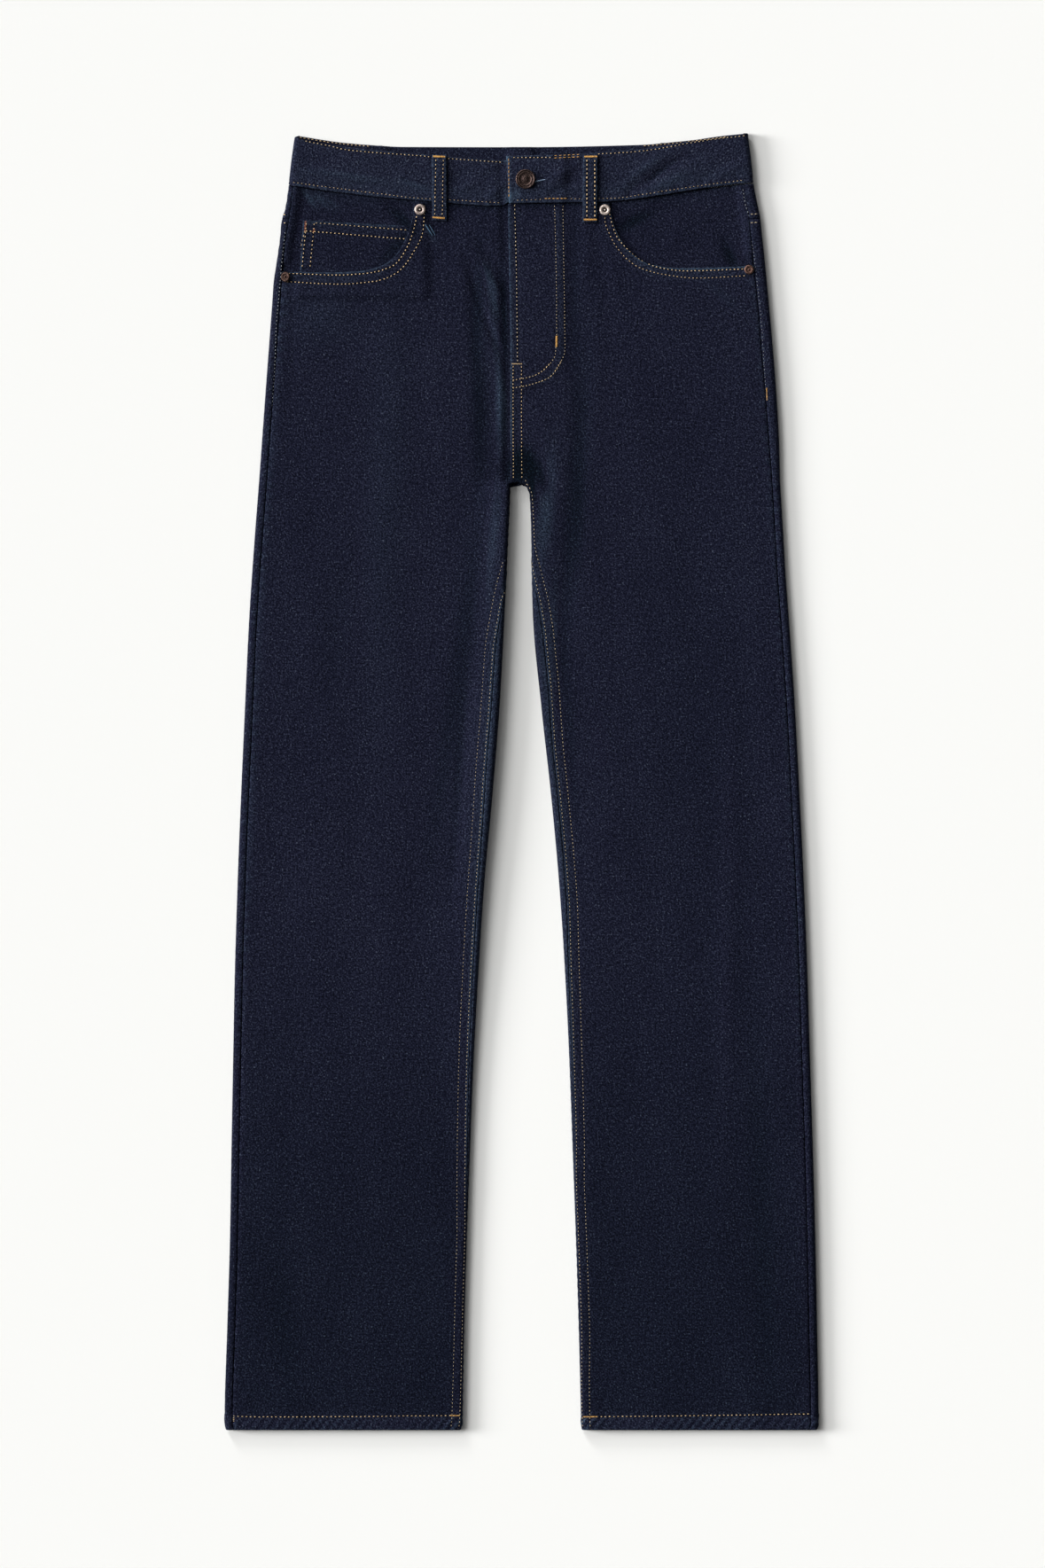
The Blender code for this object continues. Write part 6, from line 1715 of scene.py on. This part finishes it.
# The inside of the back waistband shows above the front, with its own row along the top edge.
for first_x, last_x in ((-191.0, -130.0), (104.0, 176.0)):
    inner_row = [(x, float(back_top[0](x)) - 1.1) for x in np.linspace(first_x, last_x, 7)]
    sew("gold", inner_row, (BAND,), dash=1.9, half=0.3)
print("stitches in all:", sum(len(v) for v in stitches.values()))

# %% Building the threads
STITCHES_A_PIECE = 2500


def build_threads(kind, number, rows):
    """One mesh of many stitches: a small capsule for each, laid along it and sunk at both ends."""
    bm = bmesh.new()
    bmesh.ops.create_uvsphere(bm, u_segments=5, v_segments=4, radius=1.0)
    shape = np.array([(v.co.z, v.co.x, v.co.y) for v in bm.verts])
    capsule = [[v.index for v in face.verts] for face in bm.faces]
    bm.free()
    shape[:, 0] = np.sign(shape[:, 0]) * np.abs(shape[:, 0]) ** 0.6
    first, second, normal, half = (np.array(column) for column in zip(*rows))
    along = second - first
    length = np.linalg.norm(along, axis=1)[:, None]
    along = along / length
    across = np.cross(normal, along)
    normal = np.cross(along, across)
    middle = (first + second) / 2.0
    half = half[:, None, None]
    x, y, z = shape[None, :, 0:1], shape[None, :, 1:2], shape[None, :, 2:3]
    lift = half * (0.75 * z + 0.42 - 0.9 * x ** 4)
    points = middle[:, None] + along[:, None] * x * (length[:, None] / 2.0) + across[:, None] * y * half
    points = (points + normal[:, None] * lift).reshape(-1, 3) * MM
    size = len(shape)
    mesh = bpy.data.meshes.new(f"thread_{kind}_{number}")
    faces = [[i + size * k for i in face] for k in range(len(rows)) for face in capsule]
    mesh.from_pydata(points.tolist(), [], faces)
    shade = np.repeat(rng.uniform(0.25, 0.85, len(rows)), size).astype(np.float32)
    mesh.attributes.new("thread_shade", "FLOAT", "POINT").data.foreach_set("value", shade)
    mesh.update()
    mesh.shade_smooth()
    return place_piece(mesh, thread_looks[kind])


def build_hole_shades(hole_shades):
    """Six-sided caps of painted shade, joined: each is a low dark cap on the cloth where a needle went
    through.
    """
    turns = np.linspace(0.0, 2.0 * math.pi, 7)[:6]
    centre, normal, radius = (np.array(column) for column in zip(*hole_shades))
    along = np.cross(normal, np.array([0.31, 0.95, 0.0]))
    along = along / np.linalg.norm(along, axis=1)[:, None]
    across = np.cross(normal, along)
    foot, reach = centre + 0.02 * normal, radius[:, None]
    rim = [foot + reach * (math.cos(t) * along + math.sin(t) * across) for t in turns]
    points = np.stack(rim + [centre + 0.10 * normal], axis=1).reshape(-1, 3) * MM
    mesh = bpy.data.meshes.new("needle_hole_shades")
    faces = [[7 * k + i, 7 * k + (i + 1) % 6, 7 * k + 6] for k in range(len(hole_shades)) for i in range(6)]
    mesh.from_pydata(points.tolist(), [], faces)
    return place_piece(mesh, hole_shade_material())


thread_looks = {kind: thread_material(*THREADS[kind]) for kind in THREADS}
build_hole_shades(needle_hole_shades)
print("needle holes:", len(needle_hole_shades))
thread_pieces = []
for kind, rows in stitches.items():
    for number, start in enumerate(range(0, len(rows), STITCHES_A_PIECE)):
        thread_pieces.append(build_threads(kind, number, rows[start:start + STITCHES_A_PIECE]))
print("thread pieces:", len(thread_pieces), "faces:", sum(len(o.data.polygons) for o in thread_pieces))

# %% [markdown]
# ## Cloth sizes
#
# Each cloth piece's flat cut is measured along the cloth, and printed with the share of it that its
# mesh covers.

# Each cloth piece and those that it lies on.
LIES_ON = (
    (pocket_right, ()), (pocket_left, ()), (back_right, (pocket_right,)), (back_left, (pocket_left,)),
    (yoke_right, (back_right,)), (yoke_left, (back_left,)), (fly_under, (back_left,)),
    (fly_inner, (fly_under,)), (facing_right, (yoke_right,)), (facing_left, (yoke_left,)),
    (coin, (facing_right,)), (front_right, (back_right,)), (front_left, (back_left,)),
    (band, (yoke_right, yoke_left)), (loops[0], (band,)), (loops[1], (band,)), (loops[2], ()), (loops[3], ()),
    (loops[4], ()),
)
for piece, under in LIES_ON:
    width, length = cuts[piece.name]
    area = sum(face.area for face in piece.data.polygons)
    if not piece.modifiers:  # a strip folded round, measured on one face
        area = area / 2.0
        width, length = (width, length / 2.0) if piece == band else (width / 2.0, length)
    area = min(area, width * length)
    print(f"{piece.name}: {width / MM:.0f} x {length / MM:.0f} mm, share of it {area / width / length:.2f}")

# %% [markdown]
# ## Floor, light and camera
#
# The garment lies on a pale seamless floor. A large softbox stands low at the left, so each leg throws a
# short shadow to the right that is deep at its edge and fades over 30 mm. A second one stands behind the
# waist, so that folds across the cloth show too. Each is drawn as two far lights, because one half of it
# is stronger. A weak panel overhead opens the shadows. The camera hangs straight above.

# %% Floor, light and camera
bm = bmesh.new()
bmesh.ops.create_grid(bm, x_segments=1, y_segments=1, size=3.0)
floor_mesh = bpy.data.meshes.new("floor")
bm.to_mesh(floor_mesh)
bm.free()
floor = bpy.data.objects.new("floor", floor_mesh)
bpy.context.scene.collection.objects.link(floor)
floor.location = (0.0, 0.0, -0.0003)
paper, _, _ = new_finish("matt white paper floor", {
    "Base Color": hex_colour("#f0f0ee"), "Roughness": 0.95, "Specular IOR Level": 0.0})
floor_mesh.materials.append(paper)

world = bpy.context.scene.world or bpy.data.worlds.new("studio")
bpy.context.scene.world = world
world.use_nodes = True
background = world.node_tree.nodes["Background"]
background.inputs["Color"].default_value = (1.0, 1.0, 1.0, 1.0)
background.inputs["Strength"].default_value = 0.09


def far_light(name, azimuth, elevation, spread, energy, colour):
    """A soft source far away: azimuth from -X towards +Y, its height and its width in degrees."""
    made = bpy.data.objects.new(name, bpy.data.lights.new(name, "SUN"))
    azimuth, elevation = math.radians(azimuth), math.radians(elevation)
    towards = Vector((-math.cos(azimuth) * math.cos(elevation), math.sin(azimuth) * math.cos(elevation),
                      math.sin(elevation)))
    made.rotation_euler = towards.to_track_quat("Z", "Y").to_euler()
    made.data.energy = energy
    made.data.angle = math.radians(spread)
    made.data.color = colour
    bpy.context.scene.collection.objects.link(made)


SOFTBOX = (1.0, 1.0, 0.995)
far_light("softbox at the left, upper half", 8.0, 44.0, 32.0, 1.43, SOFTBOX)
far_light("softbox at the left, lower half", 7.0, 17.5, 18.0, 4.11, SOFTBOX)
far_light("softbox behind the waist, lower half", 62.0, 18.0, 16.0, 1.29, SOFTBOX)
far_light("softbox behind the waist, upper half", 62.0, 38.0, 34.0, 0.73, SOFTBOX)
far_light("panel overhead", 0.0, 90.0, 40.0, 0.12, (1.0, 1.0, 1.0))

camera = bpy.data.objects.new("camera", bpy.data.cameras.new("camera"))
camera.location = (0.0008, -0.0021, 8.0)
camera.data.lens = 214.15
camera.data.sensor_width = 36.0
bpy.context.scene.collection.objects.link(camera)
bpy.context.scene.camera = camera
bpy.context.scene.view_settings.view_transform = "Standard"
print("camera height", camera.location.z, "m")
